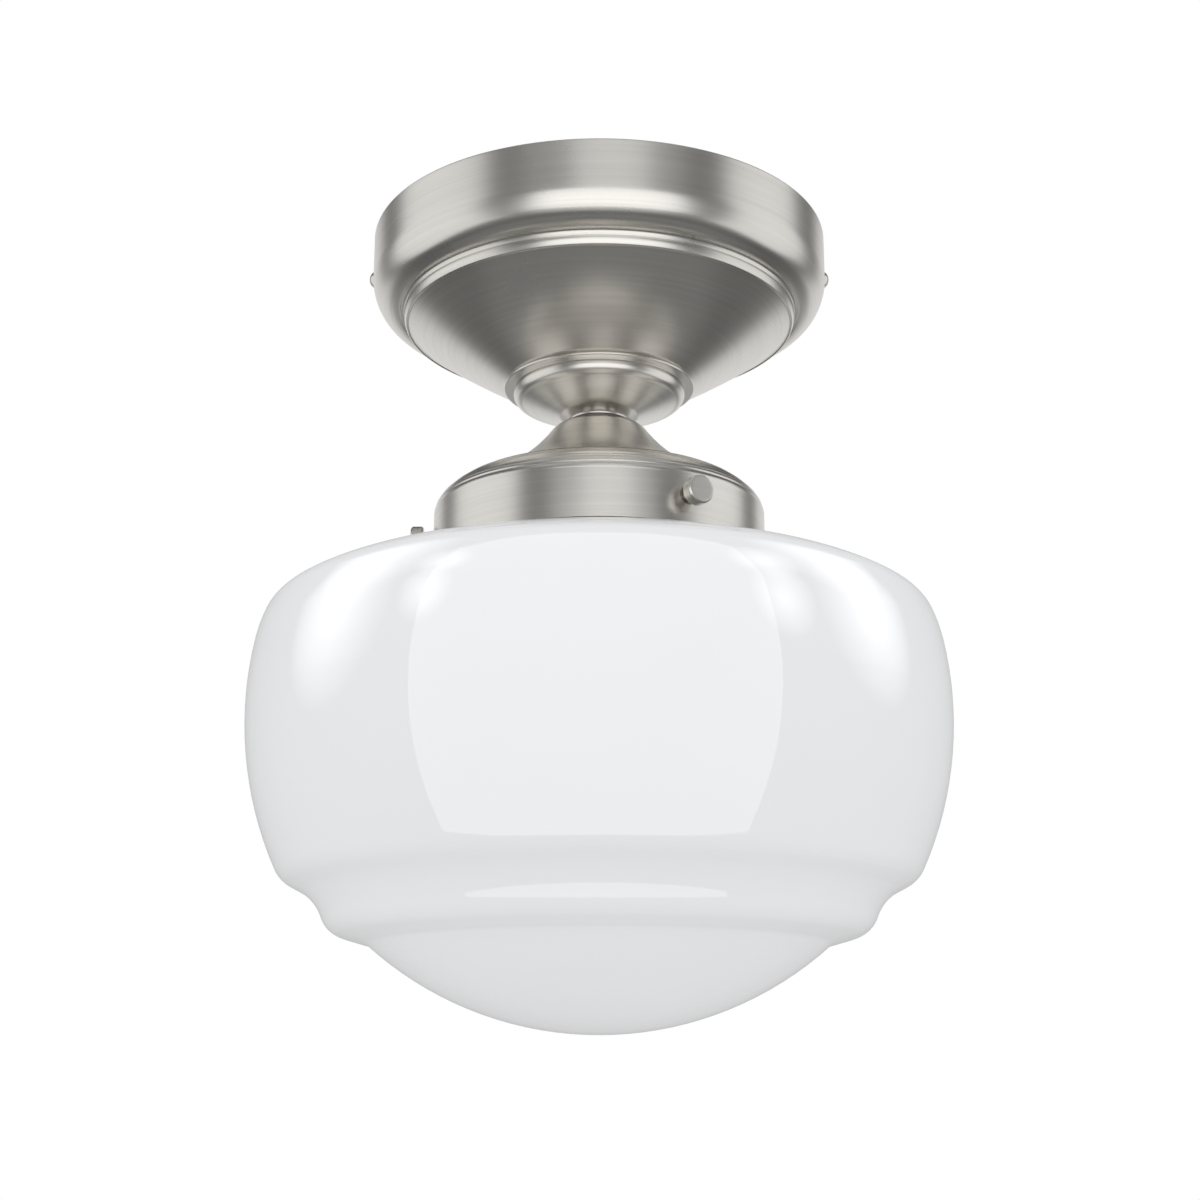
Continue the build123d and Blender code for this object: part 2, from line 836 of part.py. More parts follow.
def pieces():
    """Every node of the light by name."""
    nodes = {
        "mounting_bracket": mounting_bracket(),
        "ground_screw": ground_screw(),
        "ground_terminal": ground_terminal(),
        "canopy_shell": canopy_shell(),
        "canopy_screw_right": side_screw(1),
        "canopy_screw_left": side_screw(-1),
        "stem_cup": stem_cup(),
        "neck_collar": neck_collar(),
        "neck_bell": neck_bell(),
        "shade_holder": shade_holder(),
        "thumbscrew_bushes": thumbscrew_bushes(),
        "hollow_stem": hollow_stem(),
        "upper_washer": stem_washer(canopy_floor),
        "upper_nut": stem_nut(upper_nut_foot),
        "lower_washer": stem_washer(lower_nut_top),
        "lower_nut": stem_nut(lower_nut_top - nut_height),
        "socket_strap": socket_strap(),
        "socket_body": socket_body(),
        "socket_screws": socket_screws(),
        "socket_shell": socket_shell(),
        "socket_contact": socket_contact(),
        "live_lead": lead(live_route(1)),
        "neutral_lead": lead(live_route(-1)),
        "ground_lead": lead(ground_route()),
        "wire_connectors": wire_connectors(),
        "glass_shade": glass_shade(),
        "bulb_contact": bulb_contact(),
        "bulb_insulator": bulb_insulator(),
        "bulb_cap": bulb_cap(),
        "bulb_globe": bulb_globe(),
    }
    for number, angle in enumerate(thumb_angles, 1):
        nodes[f"thumbscrew_{number}"] = thumbscrew(angle)
    return nodes


os.makedirs("parts", exist_ok=True)
for name, node in pieces().items():
    export_step(node, f"parts/{name}.step")
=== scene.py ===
"""Finished looks of a semi-flush schoolhouse ceiling light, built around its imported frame.

The spun nickel covers, the opal glass shade and the thumbscrews are turned surfaces: an outline in
radius and height is carried round an axis. Lengths are in metres, and the ceiling lies at height 0.
"""

import math

import bmesh
import bpy
import numpy as np
from bpy.props import FloatProperty, FloatVectorProperty, PointerProperty
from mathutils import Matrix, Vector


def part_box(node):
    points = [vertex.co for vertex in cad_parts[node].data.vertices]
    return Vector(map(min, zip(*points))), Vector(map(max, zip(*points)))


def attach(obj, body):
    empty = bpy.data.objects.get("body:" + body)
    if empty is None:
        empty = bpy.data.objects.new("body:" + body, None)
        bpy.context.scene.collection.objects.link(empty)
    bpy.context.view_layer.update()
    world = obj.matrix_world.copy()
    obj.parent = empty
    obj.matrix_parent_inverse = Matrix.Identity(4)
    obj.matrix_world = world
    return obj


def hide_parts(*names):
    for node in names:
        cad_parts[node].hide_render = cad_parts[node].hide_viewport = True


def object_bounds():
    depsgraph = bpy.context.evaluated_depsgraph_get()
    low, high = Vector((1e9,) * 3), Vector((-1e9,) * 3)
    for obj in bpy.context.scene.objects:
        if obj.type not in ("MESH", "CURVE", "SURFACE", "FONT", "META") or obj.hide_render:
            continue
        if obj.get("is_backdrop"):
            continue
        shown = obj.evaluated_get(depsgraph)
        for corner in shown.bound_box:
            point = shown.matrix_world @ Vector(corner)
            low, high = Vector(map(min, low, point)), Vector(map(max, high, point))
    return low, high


bl_info = {
    "name": "Schoolhouse Ceiling Light",
    "version": (1, 0, 0),
    "blender": (4, 5, 0),
    "location": "View3D > Sidebar > Ceiling Light",
    "description": "Builds the finished pieces of a semi-flush ceiling light around its frame",
    "category": "Object",
}

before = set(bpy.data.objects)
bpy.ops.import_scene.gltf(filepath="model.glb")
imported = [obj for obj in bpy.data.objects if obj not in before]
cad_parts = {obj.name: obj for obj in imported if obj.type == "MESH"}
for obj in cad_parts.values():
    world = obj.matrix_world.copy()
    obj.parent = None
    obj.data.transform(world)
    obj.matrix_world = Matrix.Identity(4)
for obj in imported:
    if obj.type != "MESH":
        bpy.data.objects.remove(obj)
cad_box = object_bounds()

MM = 0.001

# How far the holder's lower edge is drawn down over the glass
HOLDER_SKIRT = 0.48 * MM

# Fineness of the meshes
COLUMNS = 210
COLUMN_STEP = 2 * math.pi / COLUMNS
SCREW_COLUMNS = 72
FLOOR_COLUMNS = 96
ARC_STEP = math.radians(2.5)
LEAST_ARC_STEPS = 4
LEAST_BOW_STEPS = 8
CONE_STEPS = 16
SHOULDER_STEPS = 12
THREAD_STEPS = 120
WELD = 1e-7
SHARP_ANGLE = math.radians(35)

# Corners and holes
SMOOTH_TURN = math.radians(1)
FOLD_MARGIN = 1.2
LONGEST_CUT = 0.45
HOLE_MARGIN = 1.5
HOLE_RINGS = 5
HOLE_ROWS = 9


def reach(node):
    """Largest radius of a turned node."""
    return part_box(node)[1].x


def top(node):
    """Upper level of a node."""
    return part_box(node)[1].z


def foot(node):
    """Lower level of a node."""
    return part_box(node)[0].z


# Sizes, finishes and studio settings


def length(name, description, default):
    """Property for a length or a level in metres."""
    return FloatProperty(name=name, description=description, default=default, unit="LENGTH", precision=5)


def mm(name, description, size):
    """Property for a length or a level, set in millimetres."""
    return length(name, description, size * MM)


def turn(name, description, degrees):
    """Property for an angle, set in degrees."""
    default = math.radians(degrees)
    return FloatProperty(name=name, description=description, default=default, subtype="ANGLE")


def share(name, description, default):
    """Property for a share or a brightness."""
    return FloatProperty(name=name, description=description, default=default, min=0, soft_max=2)


def colour(name, description, default):
    """Property for a colour."""
    return FloatVectorProperty(
        name=name, description=description, default=default, size=3, min=0, max=1, subtype="COLOR"
    )


class CanopySizes(bpy.types.PropertyGroup):
    radius: length("Radius", "Outside of the canopy's wall", reach("canopy_shell"))
    foot: length("Foot level", "Level of the canopy's flat floor", foot("canopy_shell"))
    sheet: mm("Sheet", "Thickness of every spun cover", 0.9)
    easing: mm("Easing", "Cut across the corners of the spun covers", 0.3)
    wall: mm("Wall height", "Straight wall below the ceiling", 14.6)
    upper_corner: mm("Upper corner radius", "Rounding under the wall", 13.06)
    corner_facing: turn("Corner middle", "Facing where the rounding tightens", -30)
    lower_corner: mm("Lower corner radius", "Tighter rounding below", 8.14)
    ledge: mm("Ledge width", "Flat ledge inside the rounding", 1.3)
    ledge_rise: mm("Ledge rise", "How far the ledge climbs to the crease", 0.6)
    upper_rib: mm("Upper rib radius", "Rounding of the bead's upper rib", 2.3)
    upper_rib_start: turn("Upper rib start", "Facing at the crease above the bead", 10)
    upper_rib_end: turn("Upper rib end", "Facing at the upper side of the groove", -34)
    rib_groove: mm("Rib groove radius", "Hollow between the two ribs", 0.6)
    lower_rib: mm("Lower rib radius", "Rounding of the bead's lower rib", 4.1)
    lower_rib_start: turn("Lower rib start", "Facing at the lower side of the groove", 5)
    lower_rib_end: turn("Lower rib end", "Facing at the lower edge of the bead", -36)
    rib_lip: mm("Bead lip", "Width of the bead's underside", 0.8)
    rib_lip_facing: turn("Bead lip facing", "Facing of the bead's underside", -106)
    cone_bulge: mm("Cone bulge", "How far the cone's side swells", 0.5)
    foot_radius: mm("Foot radius", "Edge of the flat floor", 30.4)
    stem_hole: mm("Stem hole", "Radius of the hole for the stem", 5.2)
    screw_level: mm("Screw level", "Level of the two side screws", -11.0)
    screw_hole: mm("Screw hole", "Radius of the side screws' holes", 2.3)


class NeckSizes(bpy.types.PropertyGroup):
    flange_edge: length("Flange edge", "Outer edge of the cup's flange", reach("stem_cup"))
    flange: mm("Flange width", "Width of the cup's flange", 3.55)
    bead: mm("Cup bead radius", "Rounding of the cup's bead", 3.0)
    bead_start: turn("Cup bead start", "Facing where the bead leaves the flange", 29)
    bead_end: turn("Cup bead end", "Facing where the bead meets the cup's cone", -88)
    floor: mm("Cup floor radius", "Edge of the cup's small floor", 13.0)
    collar: length("Collar radius", "Outside of the collar's ring", reach("neck_collar"))
    groove: mm("Collar groove", "Depth of the grooves beside the ring", 4.2)
    ring_drop: mm("Ring drop", "Groove above the collar's ring", 1.6)
    ring: mm("Ring height", "Height of the collar's ring", 0.9)
    ring_edge: mm("Ring edge", "Easing of the ring's edges", 0.4)
    bell_top: mm("Bell top radius", "Flat top of the bell", 10.1)
    shoulder: mm("Bell shoulder", "Radius of the bell's round shoulder", 7.6)
    shoulder_facing: turn("Shoulder end", "Facing where the shoulder turns hollow", 36)
    flare: mm("Bell flare", "Radius of the bell's hollow flare", 55.0)
    flare_facing: turn("Flare end", "Facing at the bell's rim", 75)
    undercut: mm("Bell undercut", "How far the bell's rim is cut back underneath", 0.9)


class HolderSizes(bpy.types.PropertyGroup):
    radius: length("Radius", "Outside of the holder's wall", reach("shade_holder"))
    top: length("Top level", "Flat top under the bell", top("shade_holder"))
    foot: length("Foot level", "Lower edge of the wall", foot("shade_holder") - HOLDER_SKIRT)
    undercut: mm("Undercut", "Slant of the lower edge, along the glass", 0.3)
    lip: mm("Lip", "Chamfer round the flat top", 0.5)
    shoulder: mm("Shoulder radius", "Rounding of the upper steps", 12.8)
    corner: mm("Corner radius", "Rounding of the lowest step", 6.7)
    corner_facing: turn("Corner start", "Facing where the tighter corner begins", 35)
    first_facing: turn("Shoulder start", "Facing at the top of the steps", 61)
    upper_crease: turn("Upper crease", "Facing at the upper crease", 44)
    middle_crease: turn("Middle crease", "Facing at the middle crease", 33)
    lower_crease: turn("Lower crease", "Facing at the lower crease", 19)
    crease: mm("Crease depth", "Depth of the creases between the steps", 0.24)
    easing: mm("Easing", "Cut across the holder's corners", 0.12)
    bush_hole: mm("Bush hole", "Radius of the holes for the thumbscrews' bushes", 2.95)


class ShadeSizes(bpy.types.PropertyGroup):
    radius: length("Radius", "Widest reach of the drum", reach("glass_shade"))
    lip_top: length("Lip level", "Upper edge of the shade's neck", top("glass_shade"))
    wall: mm("Wall", "Thickness of the glass", 3.2)
    lip_radius: mm("Lip radius", "Outside of the lip in the holder", 50.4)
    lip: mm("Lip height", "Height of the lip", 3.5)
    lip_edge: mm("Lip edge", "Easing of the lip's edges", 1.0)
    neck_radius: mm("Neck radius", "Outside of the neck under the lip", 49.3)
    neck_foot: mm("Neck foot", "Level where the neck runs out", -108.072)
    neck_fillet: mm("Neck fillet", "Hollow between the neck and the shoulder", 4.0)
    shoulder_facing: turn("Shoulder facing", "Facing of the shoulder's straight stretch", 72)
    shoulder: mm("Shoulder radius", "Rounding at the end of the shoulder", 47.0)
    shoulder_end: turn("Shoulder end", "Facing where the shoulder meets the edge", 60)
    edge: mm("Edge radius", "Rounding between the shoulder and the drum", 11.0)
    edge_end: turn("Edge end", "Facing where the edge meets the easing", 22)
    easing: mm("Easing radius", "Rounding that leads into the drum's side", 46.0)
    easing_end: turn("Easing end", "Facing at the top of the drum's side", 10.4)
    upper_side: mm("Upper side radius", "Swell of the drum's upper side", 111.0)
    lower_side: mm("Lower side radius", "Swell of the drum's lower side", 113.0)
    lower_side_end: turn("Lower side end", "Facing at the foot of the drum's side", -25.5)
    drum_foot: mm("Drum foot radius", "Rounding under the drum", 9.5)
    drum_foot_end: turn("Drum foot end", "Facing of the stretch under the drum", -63)
    drum_ledge: mm("Drum ledge", "Straight stretch under the drum", 3.0)
    hollow: mm("Hollow radius", "Hollow between the drum and the ring", 15.7)
    hollow_end: turn("Hollow end", "Facing where the hollow meets the ring", -20)
    ring: mm("Ring radius", "Rounding of the ring above the bowl", 8.9)
    ring_end: turn("Ring end", "Facing of the stretch under the ring", -74)
    ring_ledge: mm("Ring ledge", "Straight stretch from the ring to the bowl", 8.5)
    bowl: mm("Bowl radius", "Radius of the round bowl", 108.6)
    corner_cut: mm("Corner cut", "Cut across the corners of the glass", 1.2)


class ThumbscrewSizes(bpy.types.PropertyGroup):
    shank: mm("Shank radius", "Radius of the plain shank", 2.1)
    tip: mm("Tip radius", "Radius of the blunt tip", 1.0)
    head: mm("Head radius", "Radius of the round head", 4.45)
    head_length: mm("Head length", "Length of the round head", 4.0)
    bevel: mm("Bevel", "Bevel round both ends of the head", 0.5)
    easing: mm("Easing", "Cut across the screw's corners", 0.12)
    pitch: mm("Thread pitch", "Pitch of the thread behind the wall", 0.7)
    thread: mm("Thread depth", "Depth of the thread", 0.25)


class Finishes(bpy.types.PropertyGroup):
    nickel: colour("Nickel", "Brushed nickel plate", (0.76, 0.74, 0.70))
    zinc: colour("Zinc", "Bright zinc plate", (0.62, 0.63, 0.64))
    brass: colour("Brass", "Plain brass", (0.78, 0.60, 0.30))
    aluminium: colour("Aluminium", "Rolled aluminium of the bulb's cap", (0.75, 0.75, 0.74))
    tinned: colour("Tinned copper", "Tinned copper terminal", (0.70, 0.68, 0.64))
    opal: colour("Opal glass", "White opal glass", (0.855, 0.862, 0.875))
    frosted: colour("Frosted glass", "White coated bulb glass", (0.90, 0.90, 0.88))
    # Nickel painted dark for the thumbscrews' bushes: painted shade round the base of each thumbscrew
    painted_shade_nickel: colour("Dull nickel", "Dull plate of the thumbscrews' bushes", (0.34, 0.32, 0.29))
    black_glass: colour("Black glass", "Black glass insulator", (0.03, 0.03, 0.04))
    porcelain: colour("Porcelain", "Glazed porcelain", (0.90, 0.89, 0.86))
    green: colour("Green coat", "Coat of the ground screw and ground lead", (0.05, 0.33, 0.12))
    black: colour("Black insulation", "Insulation of the live lead", (0.03, 0.03, 0.03))
    white: colour("White insulation", "Insulation of the neutral lead", (0.85, 0.85, 0.83))
    orange: colour("Orange plastic", "Wire connectors", (0.80, 0.34, 0.05))
    # Opal glass painted darker where the nickel mirrors it: painted shade in the reflection
    mirrored: share("Mirrored glass", "Share of the opal glass's white that the nickel mirrors", 0.22)
    brushing: share("Brushing", "Contrast of the brush lines on the nickel", 0.05)


class StudioSettings(bpy.types.PropertyGroup):
    distance: length("Camera distance", "Camera in front of the light's axis", 0.5640)
    level: length("Camera level", "Level of the camera", -0.2751)
    tilt: turn("Camera tilt", "Tilt of the camera from straight down", 105.02)
    lens: FloatProperty(name="Lens", description="Focal length", default=54.0, unit="CAMERA")
    shift: share("Shift", "Sideways shift of the picture", 0.0007)
    floor: colour("Floor", "Pale floor far below the light", (0.86, 0.86, 0.86))
    floor_drop: length("Floor drop", "Floor below the ceiling", 1.2)
    floor_radius: length("Floor radius", "Radius of the round floor", 2.8)
    ambient: share("Ambient", "Even light on matt surfaces", 0.99)
    underneath: share("Underneath", "Light on matt surfaces from straight below", 0.85)
    front_level: share("Front level", "Room in front, as gloss shows it", 0.10)
    back_level: share("Back level", "White wall behind, as gloss shows it", 0.83)
    polished_level: share("Polished level", "Room all round, as polished glass shows it", 0.55)
    floor_level: share("Floor level", "Share of the floor's light that gloss shows", 0.10)


class CeilingLight(bpy.types.PropertyGroup):
    canopy: PointerProperty(type=CanopySizes)
    neck: PointerProperty(type=NeckSizes)
    holder: PointerProperty(type=HolderSizes)
    shade: PointerProperty(type=ShadeSizes)
    thumbscrew: PointerProperty(type=ThumbscrewSizes)
    finish: PointerProperty(type=Finishes)
    studio: PointerProperty(type=StudioSettings)


# Outlines, as arrays of (radius, height) points with the material on the right of the way


def facing(angle):
    """Unit vector, in radius and height, of a surface that faces this far above level."""
    return np.stack([np.cos(angle), np.sin(angle)], axis=-1)


def straight(start, end, steps=6):
    """Evenly spaced points from start to end."""
    return np.linspace(start, end, steps)


def cornered(*corners):
    """Straight runs from corner to corner."""
    return [straight(*ends) for ends in zip(corners, corners[1:])]


def arc(start, radius, first, last):
    """Round stretch on which the surface turns from facing first to facing last.

    A point is start + radius (facing(angle) - facing(first)); a negative radius makes it hollow.
    """
    steps = max(LEAST_ARC_STEPS, math.ceil(abs(last - first) / ARC_STEP) + 1)
    angles = np.linspace(first, last, steps)
    return np.asarray(start) + radius * (facing(angles) - facing(first))


def bowed(start, end, bulge):
    """Round stretch from start to end that stands out by bulge to the left of the way there.

    With the half angle h = 2 atan(2 bulge / chord) and the radius chord / (2 sin h), the point at
    angle a lies radius (sin h + sin a) along the chord and radius (cos a - cos h) left of it.
    """
    start = np.asarray(start, float)
    chord = np.asarray(end, float) - start
    span = np.linalg.norm(chord)
    along = chord / span
    left = np.array([-along[1], along[0]])
    half = 2 * math.atan(2 * bulge / span)
    steps = max(LEAST_BOW_STEPS, math.ceil(2 * half / ARC_STEP) + 1)
    angles = np.linspace(-half, half, steps)[:, None]
    way = (math.sin(half) + np.sin(angles)) * along + (np.cos(angles) - math.cos(half)) * left
    return start + span / (2 * math.sin(half)) * way


def parabola(start, corner, end, steps=7):
    """Curve from start to end that leaves and arrives along the lines to the corner."""
    t = np.linspace(0, 1, steps)[:, None]
    return (1 - t) ** 2 * start + 2 * t * (1 - t) * corner + t**2 * end


def distances(outline):
    """Length along the outline up to each of its points."""
    steps = np.linalg.norm(np.diff(outline, axis=0), axis=1)
    return np.concatenate([[0.0], np.cumsum(steps)])


def shortened(outline, head, tail):
    """Outline without a length head at its start and a length tail at its end."""
    along = distances(outline)
    last = along[-1] - tail
    spots = np.concatenate([[head], along[(along > head) & (along < last)], [last]])
    return np.stack([np.interp(spots, along, column) for column in outline.T], axis=1)


def corner_cut(before, after, easing, thickness):
    """Length to cut off both sides of a corner between two runs, none where they run on smoothly.

    An outer corner is cut far enough for the outline to be moved in by thickness without a fold:
    the parabola across it has a least radius of cut cos²(turn / 2) / sin(turn / 2).
    """
    into = before[-1] - before[-2]
    out = after[1] - after[0]
    bend = math.atan2(into[0] * out[1] - into[1] * out[0], into @ out)
    if abs(bend) < SMOOTH_TURN:
        return 0.0
    if bend < 0:
        easing = max(easing, FOLD_MARGIN * thickness * math.sin(-bend / 2) / math.cos(bend / 2) ** 2)
    return min(easing, LONGEST_CUT * distances(before)[-1], LONGEST_CUT * distances(after)[-1])


def joined(runs, easing, thickness=0.0):
    """One outline from runs that meet end to end, with a parabola across each corner."""
    inner_cuts = [corner_cut(*pair, easing, thickness) for pair in zip(runs, runs[1:])]
    cuts = [0.0, *inner_cuts, 0.0]
    pieces = [shortened(run, *ends) for run, ends in zip(runs, zip(cuts, cuts[1:]))]
    outline = [pieces[0]]
    for before, run, after in zip(pieces, runs, pieces[1:]):
        outline += [parabola(before[-1], run[-1], after[0]), after]
    outline = np.concatenate(outline)
    apart = np.linalg.norm(np.diff(outline, axis=0), axis=1) > WELD
    return outline[np.append(True, apart)]


def parallel(outline, distance):
    """Outline moved by distance to the right of its way, each point along its own normal."""
    way = np.gradient(outline, axis=0)
    way /= np.linalg.norm(way, axis=1, keepdims=True)
    return outline + distance * np.stack([way[:, 1], -way[:, 0]], axis=1)


def half_round(start, end):
    """Half circle from start to end, for the free edge of a sheet."""
    return bowed(start, end, np.linalg.norm(end - start) / 2)[1:-1]


def sheet_section(runs, easing, sheet, undercut=0.0):
    """Closed section of a spun sheet: outside, lower edge, inside, half-round upper edge.

    The lower edge is half round too, unless it is cut straight and the inside ends undercut short.
    """
    rounding = 0.0 if undercut else sheet / 2
    outside = shortened(joined(runs, easing), sheet / 2, rounding)
    inside = parallel(joined(runs, easing, sheet), sheet)
    inside = shortened(inside, sheet / 2, rounding + undercut)[::-1]
    edge = straight(outside[-1], inside[0])[1:-1] if undercut else half_round(outside[-1], inside[0])
    closing = half_round(inside[-1], outside[0])
    return np.concatenate([outside, edge, inside, closing, outside[:1]])


def wall_with_band(radius, upper, lower, level, half):
    """Runs of an upright wall, with a denser band of rows where holes go through it."""
    corners = [(radius, height) for height in (upper, level + half, level - half, lower)]
    runs = cornered(*corners)
    runs[1] = straight(*corners[1:3], HOLE_ROWS)
    return runs


# Meshes


def turned(outline, columns=COLUMNS):
    """Grid of an outline carried round Z: (radius cos a, radius sin a, height)."""
    angles = np.linspace(0, 2 * math.pi, columns, endpoint=False)
    radius = outline[:, :1]
    height = np.broadcast_to(outline[:, 1:], (len(outline), columns))
    return np.stack([radius * np.cos(angles), radius * np.sin(angles), height], axis=-1)


def cells(rows, columns):
    """Corner numbers of each cell of a grid whose columns close on themselves."""
    corner = np.arange(rows * columns).reshape(rows, columns)
    beside = np.roll(corner, -1, axis=1)
    return np.stack([corner[:-1], corner[1:], beside[1:], beside[:-1]], axis=-1)


def hole_border(angles, levels):
    """Angle and level of each grid point round a block of cells, clockwise seen from outside."""
    block = np.stack(np.meshgrid(angles, levels), axis=-1)
    low, left, high, right = block[0, :0:-1], block[:-1, 0], block[-1, :-1], block[:0:-1, -1]
    return np.concatenate([low, left, high, right]).T


def hole_patch(hole, border, walls):
    """Rings from the border of a block of cells in to a round hole, through it, and out again behind.

    The hole's rim at angle t lies radius cos t across and radius sin t above its middle. A ring is the
    share f of the way from the border to that rim, on the wall's outside and then on its inside.
    """
    angle, level, radius = hole
    border_angles, border_levels = border
    t = np.arctan2(border_levels - level, (border_angles - angle) * walls[0])
    f = np.linspace(0, 1, HOLE_RINGS)[:, None]
    rings = []
    for wall in walls:
        rim_angles = angle + np.arcsin(radius * np.cos(t) / wall)
        ring_angles = (1 - f) * border_angles + f * rim_angles
        ring_levels = (1 - f) * border_levels + f * (level + radius * np.sin(t))
        places = [wall * np.cos(ring_angles), wall * np.sin(ring_angles), ring_levels]
        rings.append(np.stack(places, axis=-1))
    return np.concatenate([rings[0], rings[1][::-1]])


def holed(section, holes, walls):
    """Turned sheet with round holes through its upright wall, as grids and the cells they keep."""
    keep = np.ones((len(section) - 1, COLUMNS), bool)
    patches = []
    for hole in holes:
        angle, level, radius = hole
        half = math.ceil(HOLE_MARGIN * radius / (walls[0] * COLUMN_STEP))
        columns = round(angle / COLUMN_STEP) + np.arange(-half, half + 1)
        near = np.abs(section[:, 1] - level) < HOLE_MARGIN * radius + WELD
        rows = [near & np.isclose(section[:, 0], wall, rtol=0, atol=WELD) for wall in walls]
        for band in rows:
            cut = np.flatnonzero(band[:-1] & band[1:])
            keep[np.ix_(cut, columns[:-1] % COLUMNS)] = False
        border = hole_border(columns * COLUMN_STEP, np.sort(section[rows[0], 1]))
        patches.append((hole_patch(hole, border, walls), None))
    return [(turned(section), keep), *patches]


def weld(mesh):
    """Closes the seams and poles of a mesh, and drops the faces that they leave without an area."""
    skin = bmesh.new()
    skin.from_mesh(mesh)
    bmesh.ops.remove_doubles(skin, verts=skin.verts, dist=WELD)
    bmesh.ops.dissolve_degenerate(skin, edges=skin.edges, dist=WELD)
    skin.to_mesh(mesh)
    skin.free()


def make_piece(name, grids, material, body, nodes):
    """Welds grids into one closed skin and sets it in the frame in place of CAD nodes."""
    points = []
    faces = []
    count = 0
    for grid, keep in grids:
        corners = cells(*grid.shape[:2])
        corners = corners.reshape(-1, 4) if keep is None else corners[keep]
        points.append(grid.reshape(-1, 3))
        faces.append(corners + count)
        count += len(points[-1])
    mesh = bpy.data.meshes.new(name)
    mesh.from_pydata(np.concatenate(points), [], np.concatenate(faces))
    weld(mesh)
    mesh.shade_smooth()
    mesh.set_sharp_from_angle(angle=SHARP_ANGLE)
    mesh.materials.append(material)
    piece = bpy.data.objects.new(name, mesh)
    bpy.context.scene.collection.objects.link(piece)
    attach(piece, body)
    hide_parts(*nodes)


# Node trees and finishes

# Range in which most values of a noise lie
NOISE_SPAN = (0.3, 0.7)

# Drift of each finish: tints as shares of its colour, gloss as roughness, changes or shares of it
NICKEL_GLOSS = (0.26, 0.30)
PLATE_TINTS = (0.86, 1.06)
PLATE_GLOSS = (-0.06, 0.08)
MOULD_TINTS = (0.88, 1.08)
MOULD_GLOSS = (-0.08, 0.08)
GLAZE_TINTS = (0.985, 1.01)
GLAZE_GLOSS = (0.8, 1.2)
FLOOR_TINTS = (0.99, 1.01)

# Fixed values of the finishes
NICKEL_ANISOTROPY = 0.2
POLISHED = 0.0
GLAZE_IOR = 1.52
GLAZE_WAVE = 0.05 * MM
GLASS_WAVE = 0.02 * MM
GRAIN_DEPTH = 0.02 * MM


class Graph:
    """Adds and wires the nodes of one tree."""

    def __init__(self, tree):
        self.tree = tree

    def feed(self, socket, value):
        if isinstance(value, bpy.types.NodeSocket):
            self.tree.links.new(value, socket)
        else:
            socket.default_value = value

    def wire(self, node, inputs):
        """Feeds inputs of a node, by name or number."""
        for name, value in dict(inputs).items():
            self.feed(node.inputs[name], value)

    def add(self, kind, inputs=(), **settings):
        node = self.tree.nodes.new(kind)
        for name, value in settings.items():
            setattr(node, name, value)
        self.wire(node, inputs)
        return node

    def math(self, operation, *values):
        return self.add("ShaderNodeMath", enumerate(values), operation=operation).outputs[0]

    def noise(self, inputs, dimensions="3D"):
        return self.add("ShaderNodeTexNoise", inputs, noise_dimensions=dimensions).outputs[0]

    def ranged(self, value, low, high, from_low=0.0, from_high=1.0, steps="LINEAR"):
        """Value carried from one range to another."""
        inputs = {"Value": value, "From Min": from_low, "From Max": from_high}
        inputs |= {"To Min": low, "To Max": high}
        return self.add("ShaderNodeMapRange", inputs, interpolation_type=steps).outputs[0]

    def mixed(self, factor, low, high):
        """Colour between low and high."""
        mix = self.add("ShaderNodeMix", {"Factor": factor}, data_type="RGBA")
        colours = [socket for socket in mix.inputs if socket.type == "RGBA"]
        self.feed(colours[0], low)
        self.feed(colours[1], high)
        return next(socket for socket in mix.outputs if socket.type == "RGBA")

    def tinted(self, factor, rgb, scales):
        """Colour between two scales of rgb."""
        return self.mixed(factor, *(opaque(rgb, scale) for scale in scales))

    def group(self, tree, inputs=()):
        return self.add("ShaderNodeGroup", inputs, node_tree=tree).outputs[0]


def shared_group(name, sockets, build):
    """Shader node group of this name, built the first time it is asked for."""
    tree = bpy.data.node_groups.get(name)
    if tree is None:
        tree = bpy.data.node_groups.new(name, "ShaderNodeTree")
        for label, default in sockets.items():
            tree.interface.new_socket(label, in_out="INPUT", socket_type="NodeSocketFloat")
            tree.interface.items_tree[label].default_value = default
        tree.interface.new_socket("Value", in_out="OUTPUT", socket_type="NodeSocketFloat")
        graph = Graph(tree)
        inputs = graph.add("NodeGroupInput").outputs
        graph.add("NodeGroupOutput", {"Value": build(graph, inputs)})
    return tree


def turned_brushing(target):
    """Fine lines that run round Z: noise stretched along the turn, fine in radius and height."""

    def build(graph, inputs):
        place = graph.add("ShaderNodeTexCoord").outputs["Object"]
        axes = graph.add("ShaderNodeSeparateXYZ", {"Vector": place}).outputs
        squares = graph.math("ADD", graph.math("POWER", axes[0], 2), graph.math("POWER", axes[1], 2))
        radius = graph.math("SQRT", graph.math("ADD", squares, WELD**2))
        sweeps = [
            graph.math("MULTIPLY", graph.math("DIVIDE", axis, radius), inputs["Sweep"])
            for axis in axes[:2]
        ]
        height = graph.math("MULTIPLY", axes[2], inputs["Fineness"])
        depth = graph.math("MULTIPLY", radius, inputs["Fineness"])
        lines = graph.add("ShaderNodeCombineXYZ", {"X": sweeps[0], "Y": sweeps[1], "Z": height})
        return graph.noise(
            {"Vector": lines.outputs[0], "W": depth, "Scale": 1.0, "Detail": 1.0, "Roughness": 0.5}, "4D"
        )

    return target.group(shared_group("turned_brushing", {"Sweep": 0.8, "Fineness": 1000.0}, build))


def soft_unevenness(target, scale, detail=2.0):
    """Slow drift over a surface: noise in space, a few waves deep."""

    def build(graph, inputs):
        place = graph.add("ShaderNodeTexCoord").outputs["Object"]
        return graph.noise({"Vector": place, "Scale": inputs["Scale"], "Detail": inputs["Detail"]})

    tree = shared_group("soft_unevenness", {"Scale": scale, "Detail": detail}, build)
    return target.group(tree, {"Scale": scale, "Detail": detail})


